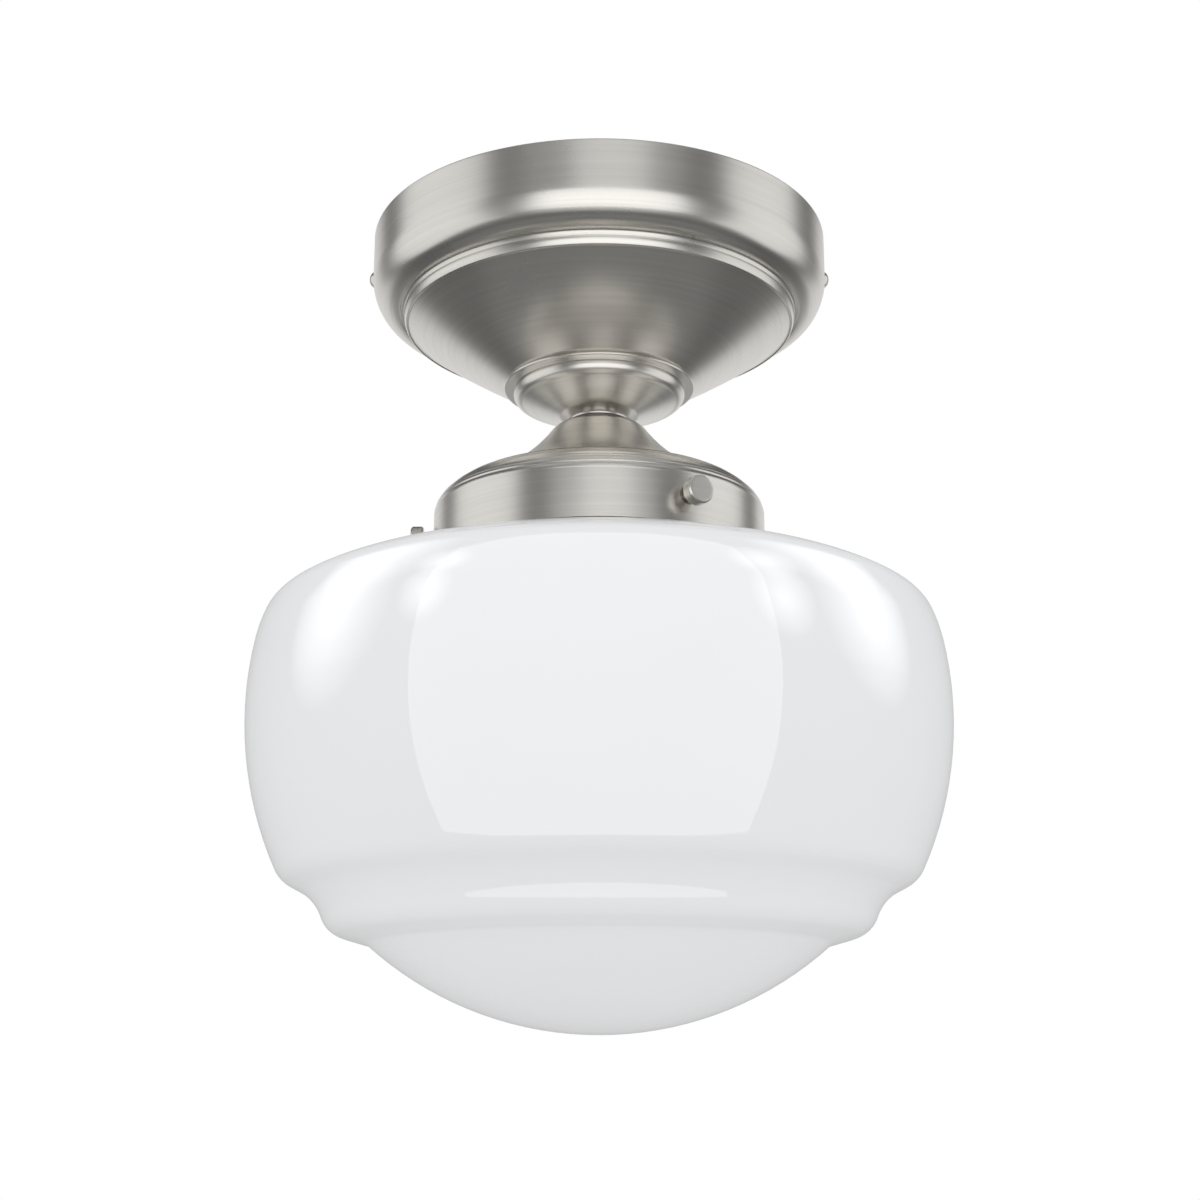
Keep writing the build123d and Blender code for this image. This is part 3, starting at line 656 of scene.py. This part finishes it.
def new_material(name):
    """Empty node material with a Principled shader; gives its graph, its shader and itself."""
    material = bpy.data.materials.new(name)
    material.use_nodes = True
    material.node_tree.nodes.clear()
    graph = Graph(material.node_tree)
    shader = graph.add("ShaderNodeBsdfPrincipled")
    graph.add("ShaderNodeOutputMaterial", {"Surface": shader.outputs[0]})
    return graph, shader, material


def opaque(rgb, scale=1.0):
    """Colour with full alpha, lightened or darkened by scale."""
    return (*(min(1.0, scale * channel) for channel in rgb), 1.0)


def bump(graph, shader, height, depth):
    """Fine relief of the given depth, in metres."""
    relief = graph.add("ShaderNodeBump", {"Height": height, "Distance": depth, "Strength": 1.0})
    graph.wire(shader, {"Normal": relief.outputs[0]})


def brushed_nickel(finish, turned_piece=True):
    """Satin nickel with fine lines round the turned form and a slow drift in its gloss."""
    name = "nickel_turned" if turned_piece else "nickel_small"
    if name in bpy.data.materials:
        return bpy.data.materials[name]
    graph, shader, material = new_material(name)
    lines = graph.ranged(turned_brushing(graph), 0, 1, *NOISE_SPAN)
    drift = soft_unevenness(graph, scale=30.0)
    tint = graph.tinted(lines, finish.nickel, (1 - finish.brushing, 1 + finish.brushing / 2))
    gloss = graph.ranged(drift, *NICKEL_GLOSS)
    graph.wire(shader, {"Base Color": tint, "Roughness": gloss, "Metallic": 1.0})
    if turned_piece:
        shader.inputs["Anisotropic"].default_value = NICKEL_ANISOTROPY
        tangent = graph.add("ShaderNodeTangent", direction_type="RADIAL", axis="Z")
        graph.wire(shader, {"Tangent": tangent.outputs[0]})
    return material


def plated(name, rgb, roughness, metallic=1.0):
    """Plain plated or coated metal: blotchy gloss and a fine grain."""
    graph, shader, material = new_material(name)
    drift = soft_unevenness(graph, scale=90.0, detail=4.0)
    grain = soft_unevenness(graph, scale=1800.0)
    tint = graph.tinted(graph.ranged(drift, 0, 1, *NOISE_SPAN), rgb, PLATE_TINTS)
    gloss = graph.ranged(drift, *(roughness + change for change in PLATE_GLOSS))
    graph.wire(shader, {"Base Color": tint, "Roughness": gloss, "Metallic": metallic})
    bump(graph, shader, grain, GRAIN_DEPTH)
    return material


def moulded(name, rgb, roughness):
    """Moulded plastic or wire insulation: faint flow marks and a fine pebble."""
    graph, shader, material = new_material(name)
    drift = soft_unevenness(graph, scale=140.0, detail=3.0)
    pebble = soft_unevenness(graph, scale=2500.0)
    gloss = graph.ranged(drift, *(roughness + change for change in MOULD_GLOSS))
    graph.wire(shader, {"Base Color": graph.tinted(drift, rgb, MOULD_TINTS), "Roughness": gloss})
    bump(graph, shader, pebble, GRAIN_DEPTH)
    return material


def glazed(name, rgb, roughness, wave, mirrored=1.0):
    """Smooth glass or glaze: a breath of colour drift and a slow wave in the surface.

    Where satin metal mirrors it, its colour is scaled by mirrored, a painted shade on its reflection, and
    its highlights are spread out.
    """
    graph, shader, material = new_material(name)
    drift = soft_unevenness(graph, scale=24.0)
    ripple = soft_unevenness(graph, scale=45.0, detail=0.0)
    path = graph.add("ShaderNodeLightPath").outputs
    satin = graph.math("SUBTRACT", path["Is Glossy Ray"], path["Is Singular Ray"])
    # In satin reflections the colour is scaled by mirrored: painted shade on the mirrored glass
    tint = graph.mixed(satin, graph.tinted(drift, rgb, GLAZE_TINTS), opaque(rgb, mirrored))
    gloss = graph.ranged(drift, *(roughness * scale for scale in GLAZE_GLOSS))
    graph.wire(shader, {"Base Color": tint, "Roughness": graph.math("MAXIMUM", gloss, satin)})
    shader.inputs["IOR"].default_value = GLAZE_IOR
    bump(graph, shader, ripple, wave)
    return material


# Pieces


def canopy_section(canopy):
    """Wall, corner that tightens, ledge up to a crease, bead of two ribs, cone and floor."""
    radius = canopy.radius
    upper_corner = arc((radius, -canopy.wall), canopy.upper_corner, 0.0, canopy.corner_facing)
    lower_corner = arc(upper_corner[-1], canopy.lower_corner, canopy.corner_facing, -math.pi / 2)
    bead_top = lower_corner[-1] + (-canopy.ledge, canopy.ledge_rise)
    upper_rib = arc(bead_top, canopy.upper_rib, canopy.upper_rib_start, canopy.upper_rib_end)
    groove = arc(upper_rib[-1], -canopy.rib_groove, canopy.upper_rib_end, canopy.lower_rib_start)
    lower_rib = arc(groove[-1], canopy.lower_rib, canopy.lower_rib_start, canopy.lower_rib_end)
    bead_foot = lower_rib[-1] + canopy.rib_lip * facing(canopy.rib_lip_facing - math.pi / 2)
    cone_foot = (canopy.foot_radius, canopy.foot)
    half = HOLE_MARGIN * canopy.screw_hole
    runs = [
        *wall_with_band(radius, 0.0, -canopy.wall, canopy.screw_level, half),
        upper_corner,
        lower_corner,
        straight(lower_corner[-1], bead_top),
        upper_rib,
        groove,
        lower_rib,
        straight(lower_rib[-1], bead_foot),
        bowed(bead_foot, cone_foot, canopy.cone_bulge),
        straight(cone_foot, (canopy.stem_hole, canopy.foot)),
    ]
    return sheet_section(runs, canopy.easing, canopy.sheet)


def cup_section(neck, canopy):
    """Flange under the canopy, round bead, cone and floor of the cup."""
    ledge = canopy.foot - canopy.sheet
    bead_top = (neck.flange_edge - neck.flange, ledge)
    bead = arc(bead_top, neck.bead, neck.bead_start, neck.bead_end)
    floor_edge = (neck.floor, foot("stem_cup"))
    runs = [
        straight((neck.flange_edge, ledge), bead_top),
        bead,
        straight(bead[-1], floor_edge, CONE_STEPS),
        straight(floor_edge, (canopy.stem_hole, floor_edge[1])),
    ]
    return sheet_section(runs, canopy.easing, canopy.sheet)


def collar_section(neck, bore):
    """Solid ring with a groove above and below it."""
    upper = top("neck_collar")
    lower = foot("neck_collar")
    ring_top = upper - neck.ring_drop
    ring_foot = ring_top - neck.ring
    groove = neck.collar - neck.groove
    runs = cornered(
        (bore, upper),
        (groove, upper),
        (groove, ring_top),
        (neck.collar, ring_top),
        (neck.collar, ring_foot),
        (groove, ring_foot),
        (groove, lower),
        (bore, lower),
        (bore, upper),
    )
    return joined(runs, neck.ring_edge)


def bell_section(neck, canopy):
    """Flat top, round shoulder and hollow flare of the bell."""
    level = top("neck_bell")
    shoulder = arc((neck.bell_top, level), neck.shoulder, math.pi / 2, neck.shoulder_facing)
    flare = arc(shoulder[-1], -neck.flare, neck.shoulder_facing, neck.flare_facing)
    crown = straight((canopy.stem_hole, level), (neck.bell_top, level))
    return sheet_section([crown, shoulder, flare], canopy.easing, canopy.sheet, neck.undercut)


def holder_section(holder, canopy, level):
    """Flat top, chamfer, four stepped rings and the upright wall of the holder."""
    creases = [holder.upper_crease, holder.middle_crease, holder.lower_crease]
    facings = [holder.first_facing, *creases, 0.0]
    start = facing(holder.first_facing)
    middle = facing(holder.corner_facing)
    drop = (start[1] - middle[1]) * holder.shoulder + middle[1] * holder.corner
    wall_top = holder.top - holder.lip - drop

    def smooth_point(angle):
        low = min(angle, holder.corner_facing)
        base = np.array([holder.radius, wall_top]) + (facing(low) - facing(0.0)) * holder.corner
        return base + (facing(angle) - facing(low)) * holder.shoulder

    points = [smooth_point(angle) for angle in facings]
    points[1:-1] = [smooth_point(angle) - holder.crease * facing(angle) for angle in creases]
    steps = []
    for first, last, ends in zip(facings, facings[1:], zip(points, points[1:])):
        crown = smooth_point((first + last) / 2) - (ends[0] + ends[1]) / 2
        steps.append(bowed(*ends, np.linalg.norm(crown)))
    rim = (points[0][0] - holder.lip, holder.top)
    half = HOLE_MARGIN * holder.bush_hole
    runs = [
        *cornered((canopy.stem_hole, holder.top), rim, points[0]),
        *steps,
        *wall_with_band(holder.radius, wall_top, holder.foot, level, half),
    ]
    return sheet_section(runs, holder.easing, canopy.sheet, holder.undercut)


def shade_side(shade, inset):
    """Runs from the foot of the neck to the ring above the bowl, moved inwards by inset.

    The shoulder's straight stretch is as long as the drum's reach needs.
    """
    upper_turns = (
        (shade.shoulder, shade.shoulder_end),
        (shade.edge, shade.edge_end),
        (shade.easing, shade.easing_end),
        (shade.upper_side, 0.0),
    )
    lower_turns = ((shade.lower_side, shade.lower_side_end), (shade.drum_foot, shade.drum_foot_end))
    ring_turns = ((-shade.hollow, shade.hollow_end), (shade.ring, shade.ring_end))
    face = shade.shoulder_facing
    reached = shade.neck_radius + shade.neck_fillet * (1 - math.cos(face))
    for radius, last in upper_turns:
        reached += radius * (math.cos(last) - math.cos(face))
        face = last
    face = shade.shoulder_facing
    slope = (shade.radius - reached) / math.sin(face) * facing(face - math.pi / 2)
    start = (shade.neck_radius - inset, shade.neck_foot)
    runs = [arc(start, -shade.neck_fillet - inset, 0.0, face)]
    runs.append(straight(runs[-1][-1], runs[-1][-1] + slope, SHOULDER_STEPS))
    for radius, last in upper_turns + lower_turns:
        runs.append(arc(runs[-1][-1], radius - inset, face, last))
        face = last
    ledge = shade.drum_ledge * facing(face - math.pi / 2)
    runs.append(straight(runs[-1][-1], runs[-1][-1] + ledge))
    for radius, last in ring_turns:
        runs.append(arc(runs[-1][-1], radius - inset, face, last))
        face = last
    return runs


def shade_outline(shade, inset):
    """Whole run from the foot of the neck to the bottom of the bowl, moved inwards by inset.

    The ledge under the ring runs straight on until it meets the bowl's ball, whose centre is set by
    the length of the ledge on the outside.
    """
    down = facing(shade.ring_end - math.pi / 2)
    rim = shade_side(shade, 0.0)[-1][-1] + shade.ring_ledge * down
    centre = np.array([0.0, rim[1] + math.sqrt(shade.bowl**2 - rim[0] ** 2)])
    runs = shade_side(shade, inset)
    radius = shade.bowl - inset
    offset = runs[-1][-1] - centre
    along = offset @ down
    rim = runs[-1][-1] - down * (along + math.sqrt(along**2 - offset @ offset + radius**2))
    face = math.atan2(rim[1] - centre[1], rim[0])
    runs.append(straight(runs[-1][-1], rim))
    runs.append(arc(rim, radius, face, -math.pi / 2))
    return joined(runs, shade.corner_cut)


def shade_section(shade):
    """Inside of the glass from its bottom up, over the lip, and down its outside to the bottom."""
    inner = shade.neck_radius - shade.wall
    lip_foot = shade.lip_top - shade.lip
    neck = cornered(
        (inner, shade.neck_foot),
        (inner, shade.lip_top),
        (shade.lip_radius, shade.lip_top),
        (shade.lip_radius, lip_foot),
        (shade.neck_radius, lip_foot),
        (shade.neck_radius, shade.neck_foot),
    )
    runs = [shade_outline(shade, shade.wall)[::-1], *neck, shade_outline(shade, 0.0)]
    section = joined(runs, shade.lip_edge)
    section[[0, -1], 0] = 0.0
    return section


def thumbscrew_grid(sizes, holder, angle, ends, level):
    """Round-headed screw along a level axis; a helical thread cuts the shank behind the wall.

    Across the axis the surface is turned; in the thread the radius falls by the depth times a
    triangle wave of (distance along the axis / pitch - angle / full turn).
    """
    tip, end = ends
    head = end - sizes.head_length
    shoulder = tip + sizes.shank - sizes.tip
    shank = [(sizes.shank, head), (sizes.shank, shoulder)]
    runs = cornered(
        (0.0, end),
        (sizes.head - sizes.bevel, end),
        (sizes.head, end - sizes.bevel),
        (sizes.head, head + sizes.bevel),
        (sizes.head - sizes.bevel, head),
        shank[0],
    )
    runs.append(straight(*shank, THREAD_STEPS))
    runs += cornered(shank[1], (sizes.tip, tip), (0.0, tip))
    outline = joined(runs, sizes.easing)
    turns = np.linspace(0, 1, SCREW_COLUMNS, endpoint=False)
    distance = outline[:, 1:]
    wave = np.abs((distance / sizes.pitch - turns) % 1.0 * 2 - 1)
    starts = np.clip((distance - shoulder) / sizes.pitch, 0, 1)
    stops = np.clip((holder.radius - holder.lip - distance) / sizes.pitch, 0, 1)
    radius = outline[:, :1] - sizes.thread * wave * starts * stops
    out = np.array([math.cos(angle), math.sin(angle), 0.0])
    up = np.array([0.0, 0.0, 1.0])
    side = np.cross(out, up)
    around = facing(2 * math.pi * turns) @ np.stack([up, side])
    return distance[:, :, None] * out + level * up + radius[:, :, None] * around


def axis_ends(node, angle):
    """Nearest and furthest reach of a node along a level direction from the light's axis."""
    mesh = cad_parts[node].data
    places = np.empty(3 * len(mesh.vertices), np.float32)
    mesh.vertices.foreach_get("co", places)
    reached = places.reshape(-1, 3) @ np.array([math.cos(angle), math.sin(angle), 0.0])
    return reached.min(), reached.max()


def middle_level(node):
    """Level halfway up a node."""
    return (top(node) + foot(node)) / 2


THUMBSCREWS = {
    "thumbscrew_1": math.radians(-60),
    "thumbscrew_2": math.radians(60),
    "thumbscrew_3": math.radians(180),
}
SIDE_SCREWS = (0.0, math.pi)
ZINC_PLATED = (
    "mounting_bracket",
    "upper_washer",
    "upper_nut",
    "lower_washer",
    "lower_nut",
    "socket_strap",
    "socket_screws",
    "hollow_stem",
)


def spin(light, name, node, section, radius=0.0, holes=()):
    """Spun or turned nickel piece of the fixture, with any holes through its wall at radius."""
    grids = holed(section, holes, (radius, radius - light.canopy.sheet))
    make_piece(name, grids, brushed_nickel(light.finish), "fixture", [node])


class LIGHT_OT_canopy(bpy.types.Operator):
    """Spin the canopy with its two screw holes"""

    bl_idname = "ceiling_light.canopy"
    bl_label = "Canopy"

    def execute(self, context):
        light = context.scene.ceiling_light
        canopy = light.canopy
        holes = [(angle, canopy.screw_level, canopy.screw_hole) for angle in SIDE_SCREWS]
        spin(light, "spun_canopy", "canopy_shell", canopy_section(canopy), canopy.radius, holes)
        return {"FINISHED"}


class LIGHT_OT_neck(bpy.types.Operator):
    """Spin the cup, turn the collar and spin the bell of the neck"""

    bl_idname = "ceiling_light.neck"
    bl_label = "Neck"

    def execute(self, context):
        light = context.scene.ceiling_light
        neck = light.neck
        canopy = light.canopy
        spin(light, "spun_cup", "stem_cup", cup_section(neck, canopy))
        spin(light, "turned_collar", "neck_collar", collar_section(neck, canopy.stem_hole))
        spin(light, "spun_bell", "neck_bell", bell_section(neck, canopy))
        return {"FINISHED"}


class LIGHT_OT_holder(bpy.types.Operator):
    """Spin the stepped shade holder with its three bush holes"""

    bl_idname = "ceiling_light.holder"
    bl_label = "Shade Holder"

    def execute(self, context):
        light = context.scene.ceiling_light
        holder = light.holder
        level = middle_level("thumbscrew_1")
        holes = [(angle, level, holder.bush_hole) for angle in THUMBSCREWS.values()]
        section = holder_section(holder, light.canopy, level)
        spin(light, "spun_holder", "shade_holder", section, holder.radius, holes)
        return {"FINISHED"}


class LIGHT_OT_shade(bpy.types.Operator):
    """Blow the opal glass shade"""

    bl_idname = "ceiling_light.shade"
    bl_label = "Glass Shade"

    def execute(self, context):
        light = context.scene.ceiling_light
        finish = light.finish
        opal = glazed("opal_glass_white", finish.opal, POLISHED, GLASS_WAVE, finish.mirrored)
        grids = [(turned(shade_section(light.shade)), None)]
        make_piece("opal_shade", grids, opal, "shade", ["glass_shade"])
        return {"FINISHED"}


class LIGHT_OT_thumbscrews(bpy.types.Operator):
    """Turn the three thumbscrews that hold the shade"""

    bl_idname = "ceiling_light.thumbscrews"
    bl_label = "Thumbscrews"

    def execute(self, context):
        light = context.scene.ceiling_light
        nickel = brushed_nickel(light.finish, turned_piece=False)
        for node, angle in THUMBSCREWS.items():
            ends = axis_ends(node, angle)
            grid = thumbscrew_grid(light.thumbscrew, light.holder, angle, ends, middle_level(node))
            make_piece("turned_" + node, [(grid, None)], nickel, node, [node])
        return {"FINISHED"}


class LIGHT_OT_fittings(bpy.types.Operator):
    """Give the side screws, the bracket, the wiring, the socket and the bulb their finishes"""

    bl_idname = "ceiling_light.fittings"
    bl_label = "Fittings"

    def execute(self, context):
        finish = context.scene.ceiling_light.finish
        nickel = brushed_nickel(finish, turned_piece=False)
        # Each finish, with its roughness after its colour, and the nodes that wear it
        finishes = {
            nickel: ("canopy_screw_right", "canopy_screw_left"),
            # The bushes wear the darker nickel, a painted shade round the thumbscrews' bases
            plated("painted_shade_nickel_plate", finish.painted_shade_nickel, 0.42): ("thumbscrew_bushes",),
            plated("zinc_plate", finish.zinc, 0.30): ZINC_PLATED,
            plated("brass_plain", finish.brass, 0.26): ("socket_shell", "socket_contact", "bulb_contact"),
            plated("green_coated_steel", finish.green, 0.34, metallic=0.3): ("ground_screw",),
            plated("tinned_copper_plate", finish.tinned, 0.28): ("ground_terminal",),
            plated("rolled_aluminium", finish.aluminium, 0.24): ("bulb_cap",),
            glazed("porcelain_glaze", finish.porcelain, 0.12, GLAZE_WAVE): ("socket_body",),
            glazed("frosted_bulb_glass", finish.frosted, 0.45, GLASS_WAVE): ("bulb_globe",),
            glazed("black_insulator_glass", finish.black_glass, 0.10, GLAZE_WAVE): ("bulb_insulator",),
            moulded("black_wire", finish.black, 0.42): ("live_lead",),
            moulded("white_wire", finish.white, 0.42): ("neutral_lead",),
            moulded("green_wire", finish.green, 0.42): ("ground_lead",),
            moulded("orange_connector", finish.orange, 0.38): ("wire_connectors",),
        }
        for material, nodes in finishes.items():
            for node in nodes:
                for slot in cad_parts[node].material_slots:
                    slot.material = material
        return {"FINISHED"}


# Studio

# Heights or depths of a direction between which the room changes
SOFT_FALL = (-0.8, -0.1)
WALL_EDGE = (0.62, 0.76)
WALL_FOOT = (-0.45, -0.30)
WALL_TOP = (0.42, 0.55)

# Cards that the metal shows: azimuths and elevations in degrees, and brightness
METAL_CARDS = {
    "metal_front": ((-32, 40), (-40, 12.5), 1.18),
    "metal_front_low": ((-26, 31), (-60, -40), 0.36),
    "metal_front_rise": ((-10, 22), (14, 44), 0.44),
    "metal_front_haze": ((-32, 36), (14, 44), 0.19),
    "metal_upper": ((-35, 40), (46, 80), 0.35),
    "metal_left": ((-115, -55), (-42, 36), 0.80),
    "metal_right": ((63, 113), (-42, 36), 0.80),
}
METAL_CENTRE = Vector((0.0, 0.0, -0.05))
METAL_DISTANCE = 1.4

# Large upright card in front that the glass shows
FRONT_PLACE = Vector((-0.045, -0.6, 0.09))
FRONT_SIZE = (1.75, 2.02)
FRONT_RADIANCE = 1.64

# Soft lights that the glass shows: azimuth, elevation, half angle in degrees, and brightness
GLINTS = {
    "glass_left_low": (-95, 24, 21, 4.0),
    "glass_left_high": (-95, 45, 21, 4.0),
    "glass_right_low": (98, 24, 20, 4.0),
    "glass_right_high": (98, 45, 20, 4.0),
    "glass_left_inner_low": (-60, 29, 9, 4.2),
    "glass_left_inner_high": (-60, 42, 9, 4.2),
    "glass_right_inner_low": (63, 27, 11, 4.6),
    "glass_right_inner_high": (64, 42, 11, 4.6),
}
GLINT_CENTRE = Vector((0.0, 0.0, -0.16))
GLINT_DISTANCE = 1.2
GLINT_REACH = 1.4


def link_only(name, objects, state):
    """Collection that a light reaches, or leaves out."""
    collection = bpy.data.collections.new(name)
    for item in objects:
        collection.objects.link(item)
    for member in collection.collection_objects:
        member.light_linking.link_state = state
    return collection


def add_card(name, place, aim, size, radiance, receivers, spread=math.pi):
    """Card that only gloss shows, with the given brightness in its middle.

    A spread below half a turn dims it by (tan half - tan angle) / tan half off its square direction,
    and gathers its power by tan half / (tan half - half).
    """
    half = spread / 2
    gain = math.tan(half) / (math.tan(half) - half)
    data = bpy.data.lights.new(name, "AREA")
    data.shape = "RECTANGLE"
    data.size, data.size_y = size
    data.spread = spread
    data.energy = radiance * math.pi * size[0] * size[1] / gain
    card = bpy.data.objects.new(name, data)
    card.location = place
    card.rotation_euler = (place - aim).to_track_quat("Z", "Y").to_euler()
    card.visible_camera = False
    card.visible_diffuse = False
    card.light_linking.receiver_collection = receivers
    bpy.context.scene.collection.objects.link(card)


def card_round(name, centre, distance, sides, rises, radiance, receivers, spread=math.pi):
    """Card that covers a range of azimuths and elevations seen from centre.

    Azimuth 0 is the camera's side and 90 is +X. The card stands square to its middle direction.
    """
    azimuth = math.radians(sum(sides) / 2)
    elevation = math.radians(sum(rises) / 2)
    level = math.cos(elevation)
    way = Vector((math.sin(azimuth) * level, -math.cos(azimuth) * level, math.sin(elevation)))
    spans = [math.radians(abs(last - first)) for first, last in (sides, rises)]
    size = [2 * distance * math.tan(span / 2) for span in spans]
    add_card(name, centre + distance * way, centre, size, radiance, receivers, spread)


def soft_card(name, side, rise, half, radiance, receivers):
    """Card that fades from its middle, as its light keeps within a narrow cone."""
    edge = GLINT_REACH * half
    ranges = [(middle - edge, middle + edge) for middle in (side, rise)]
    spread = math.radians(2 * half)
    card_round(name, GLINT_CENTRE, GLINT_DISTANCE, *ranges, radiance, receivers, spread)


def studio_world(scene, studio):
    """White for the camera, even light for matt surfaces, a white back wall for satin metal."""
    world = bpy.data.worlds.new("studio")
    scene.world = world
    world.use_nodes = True
    world.node_tree.nodes.clear()
    graph = Graph(world.node_tree)
    direction = graph.add("ShaderNodeTexCoord").outputs["Generated"]
    axes = graph.add("ShaderNodeSeparateXYZ", {"Vector": direction}).outputs
    soft = graph.ranged(axes[2], studio.underneath, studio.ambient, *SOFT_FALL, "SMOOTHSTEP")
    behind = graph.ranged(axes[1], 0.0, 1.0, *WALL_EDGE, "SMOOTHSTEP")
    above = graph.ranged(axes[2], 0.0, 1.0, *WALL_FOOT, "SMOOTHSTEP")
    below = graph.ranged(axes[2], 1.0, 0.0, *WALL_TOP, "SMOOTHSTEP")
    wall = graph.math("MULTIPLY", behind, graph.math("MULTIPLY", above, below))
    room = graph.ranged(wall, studio.front_level, studio.back_level)
    path = graph.add("ShaderNodeLightPath").outputs
    level = graph.mixed(path["Is Glossy Ray"], soft, room)
    level = graph.mixed(path["Is Singular Ray"], level, opaque((studio.polished_level,) * 3))
    seen = graph.math("MAXIMUM", path["Is Camera Ray"], path["Is Transmission Ray"])
    level = graph.mixed(seen, level, (1.0, 1.0, 1.0, 1.0))
    shader = graph.add("ShaderNodeBackground", {"Color": level, "Strength": 1.0})
    graph.add("ShaderNodeOutputWorld", {"Surface": shader.outputs[0]})


def studio_floor(studio):
    """Round pale floor, a ring of cells that close in its middle, darker where gloss looks at it."""
    rings = np.array([[studio.floor_radius, -studio.floor_drop], [0.0, -studio.floor_drop]])
    points = turned(rings, FLOOR_COLUMNS).reshape(-1, 3)
    mesh = bpy.data.meshes.new("floor")
    mesh.from_pydata(points, [], cells(len(rings), FLOOR_COLUMNS).reshape(-1, 4)[:, ::-1])
    weld(mesh)
    graph, shader, material = new_material("pale_floor")
    path = graph.add("ShaderNodeLightPath").outputs
    drift = soft_unevenness(graph, scale=3.0)
    pale = graph.tinted(drift, studio.floor, FLOOR_TINTS)
    tint = graph.mixed(path["Is Glossy Ray"], pale, opaque(studio.floor, studio.floor_level))
    tint = graph.mixed(path["Is Singular Ray"], tint, opaque((studio.polished_level,) * 3))
    graph.wire(shader, {"Base Color": tint, "Roughness": 0.9})
    mesh.materials.append(material)
    floor = bpy.data.objects.new("floor", mesh)
    floor.visible_diffuse = False
    bpy.context.scene.collection.objects.link(floor)
    floor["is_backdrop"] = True


def studio_camera(scene, studio):
    """Camera in front of the light, looking a little upwards."""
    data = bpy.data.cameras.new("camera")
    data.lens = studio.lens
    data.sensor_width = 36.0
    data.shift_x = studio.shift
    camera = bpy.data.objects.new("camera", data)
    camera.location = (0.0, -studio.distance, studio.level)
    camera.rotation_euler = (studio.tilt, 0.0, 0.0)
    scene.collection.objects.link(camera)
    scene.camera = camera


class LIGHT_OT_stage(bpy.types.Operator):
    """Set up the camera, the pale floor, the room and the soft cards"""

    bl_idname = "ceiling_light.stage"
    bl_label = "Stage"

    def execute(self, context):
        scene = context.scene
        studio = scene.ceiling_light.studio
        scene.view_settings.view_transform = "Standard"
        studio_camera(scene, studio)
        studio_world(scene, studio)
        studio_floor(studio)
        glass = [bpy.data.objects["opal_shade"]]
        on_metal = link_only("all_but_glass", glass, "EXCLUDE")
        on_glass = link_only("glass_only", glass, "INCLUDE")
        for name, card in METAL_CARDS.items():
            card_round(name, METAL_CENTRE, METAL_DISTANCE, *card, on_metal)
        aim = FRONT_PLACE + Vector((0.0, 1.0, 0.0))
        add_card("glass_front", FRONT_PLACE, aim, FRONT_SIZE, FRONT_RADIANCE, on_glass)
        for name, glint in GLINTS.items():
            soft_card(name, *glint, on_glass)
        return {"FINISHED"}


OPERATORS = (
    LIGHT_OT_canopy,
    LIGHT_OT_neck,
    LIGHT_OT_holder,
    LIGHT_OT_shade,
    LIGHT_OT_thumbscrews,
    LIGHT_OT_fittings,
    LIGHT_OT_stage,
)


class LIGHT_PT_sidebar(bpy.types.Panel):
    """Pieces of the ceiling light and their settings"""

    bl_idname = "LIGHT_PT_sidebar"
    bl_label = "Ceiling Light"
    bl_space_type = "VIEW_3D"
    bl_region_type = "UI"
    bl_category = "Ceiling Light"

    def draw(self, context):
        light = context.scene.ceiling_light
        for operator in OPERATORS:
            self.layout.operator(operator.bl_idname)
        for name in light.bl_rna.properties.keys():
            group = getattr(light, name)
            if isinstance(group, bpy.types.PropertyGroup):
                box = self.layout.box()
                box.label(text=name.capitalize())
                for setting in group.__annotations__:
                    box.prop(group, setting)


CLASSES = (
    CanopySizes,
    NeckSizes,
    HolderSizes,
    ShadeSizes,
    ThumbscrewSizes,
    Finishes,
    StudioSettings,
    CeilingLight,
    *OPERATORS,
    LIGHT_PT_sidebar,
)


def register():
    for item in CLASSES:
        bpy.utils.register_class(item)
    bpy.types.Scene.ceiling_light = PointerProperty(type=CeilingLight)


def unregister():
    del bpy.types.Scene.ceiling_light
    for item in reversed(CLASSES):
        bpy.utils.unregister_class(item)


def main():
    register()
    for operator in OPERATORS:
        family, action = operator.bl_idname.split(".")
        getattr(getattr(bpy.ops, family), action)()
    boxes = {"cad": cad_box, "visual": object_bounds()}
    {name: [list(corner) for corner in box] for name, box in boxes.items()}


if __name__ == "__main__":
    main()
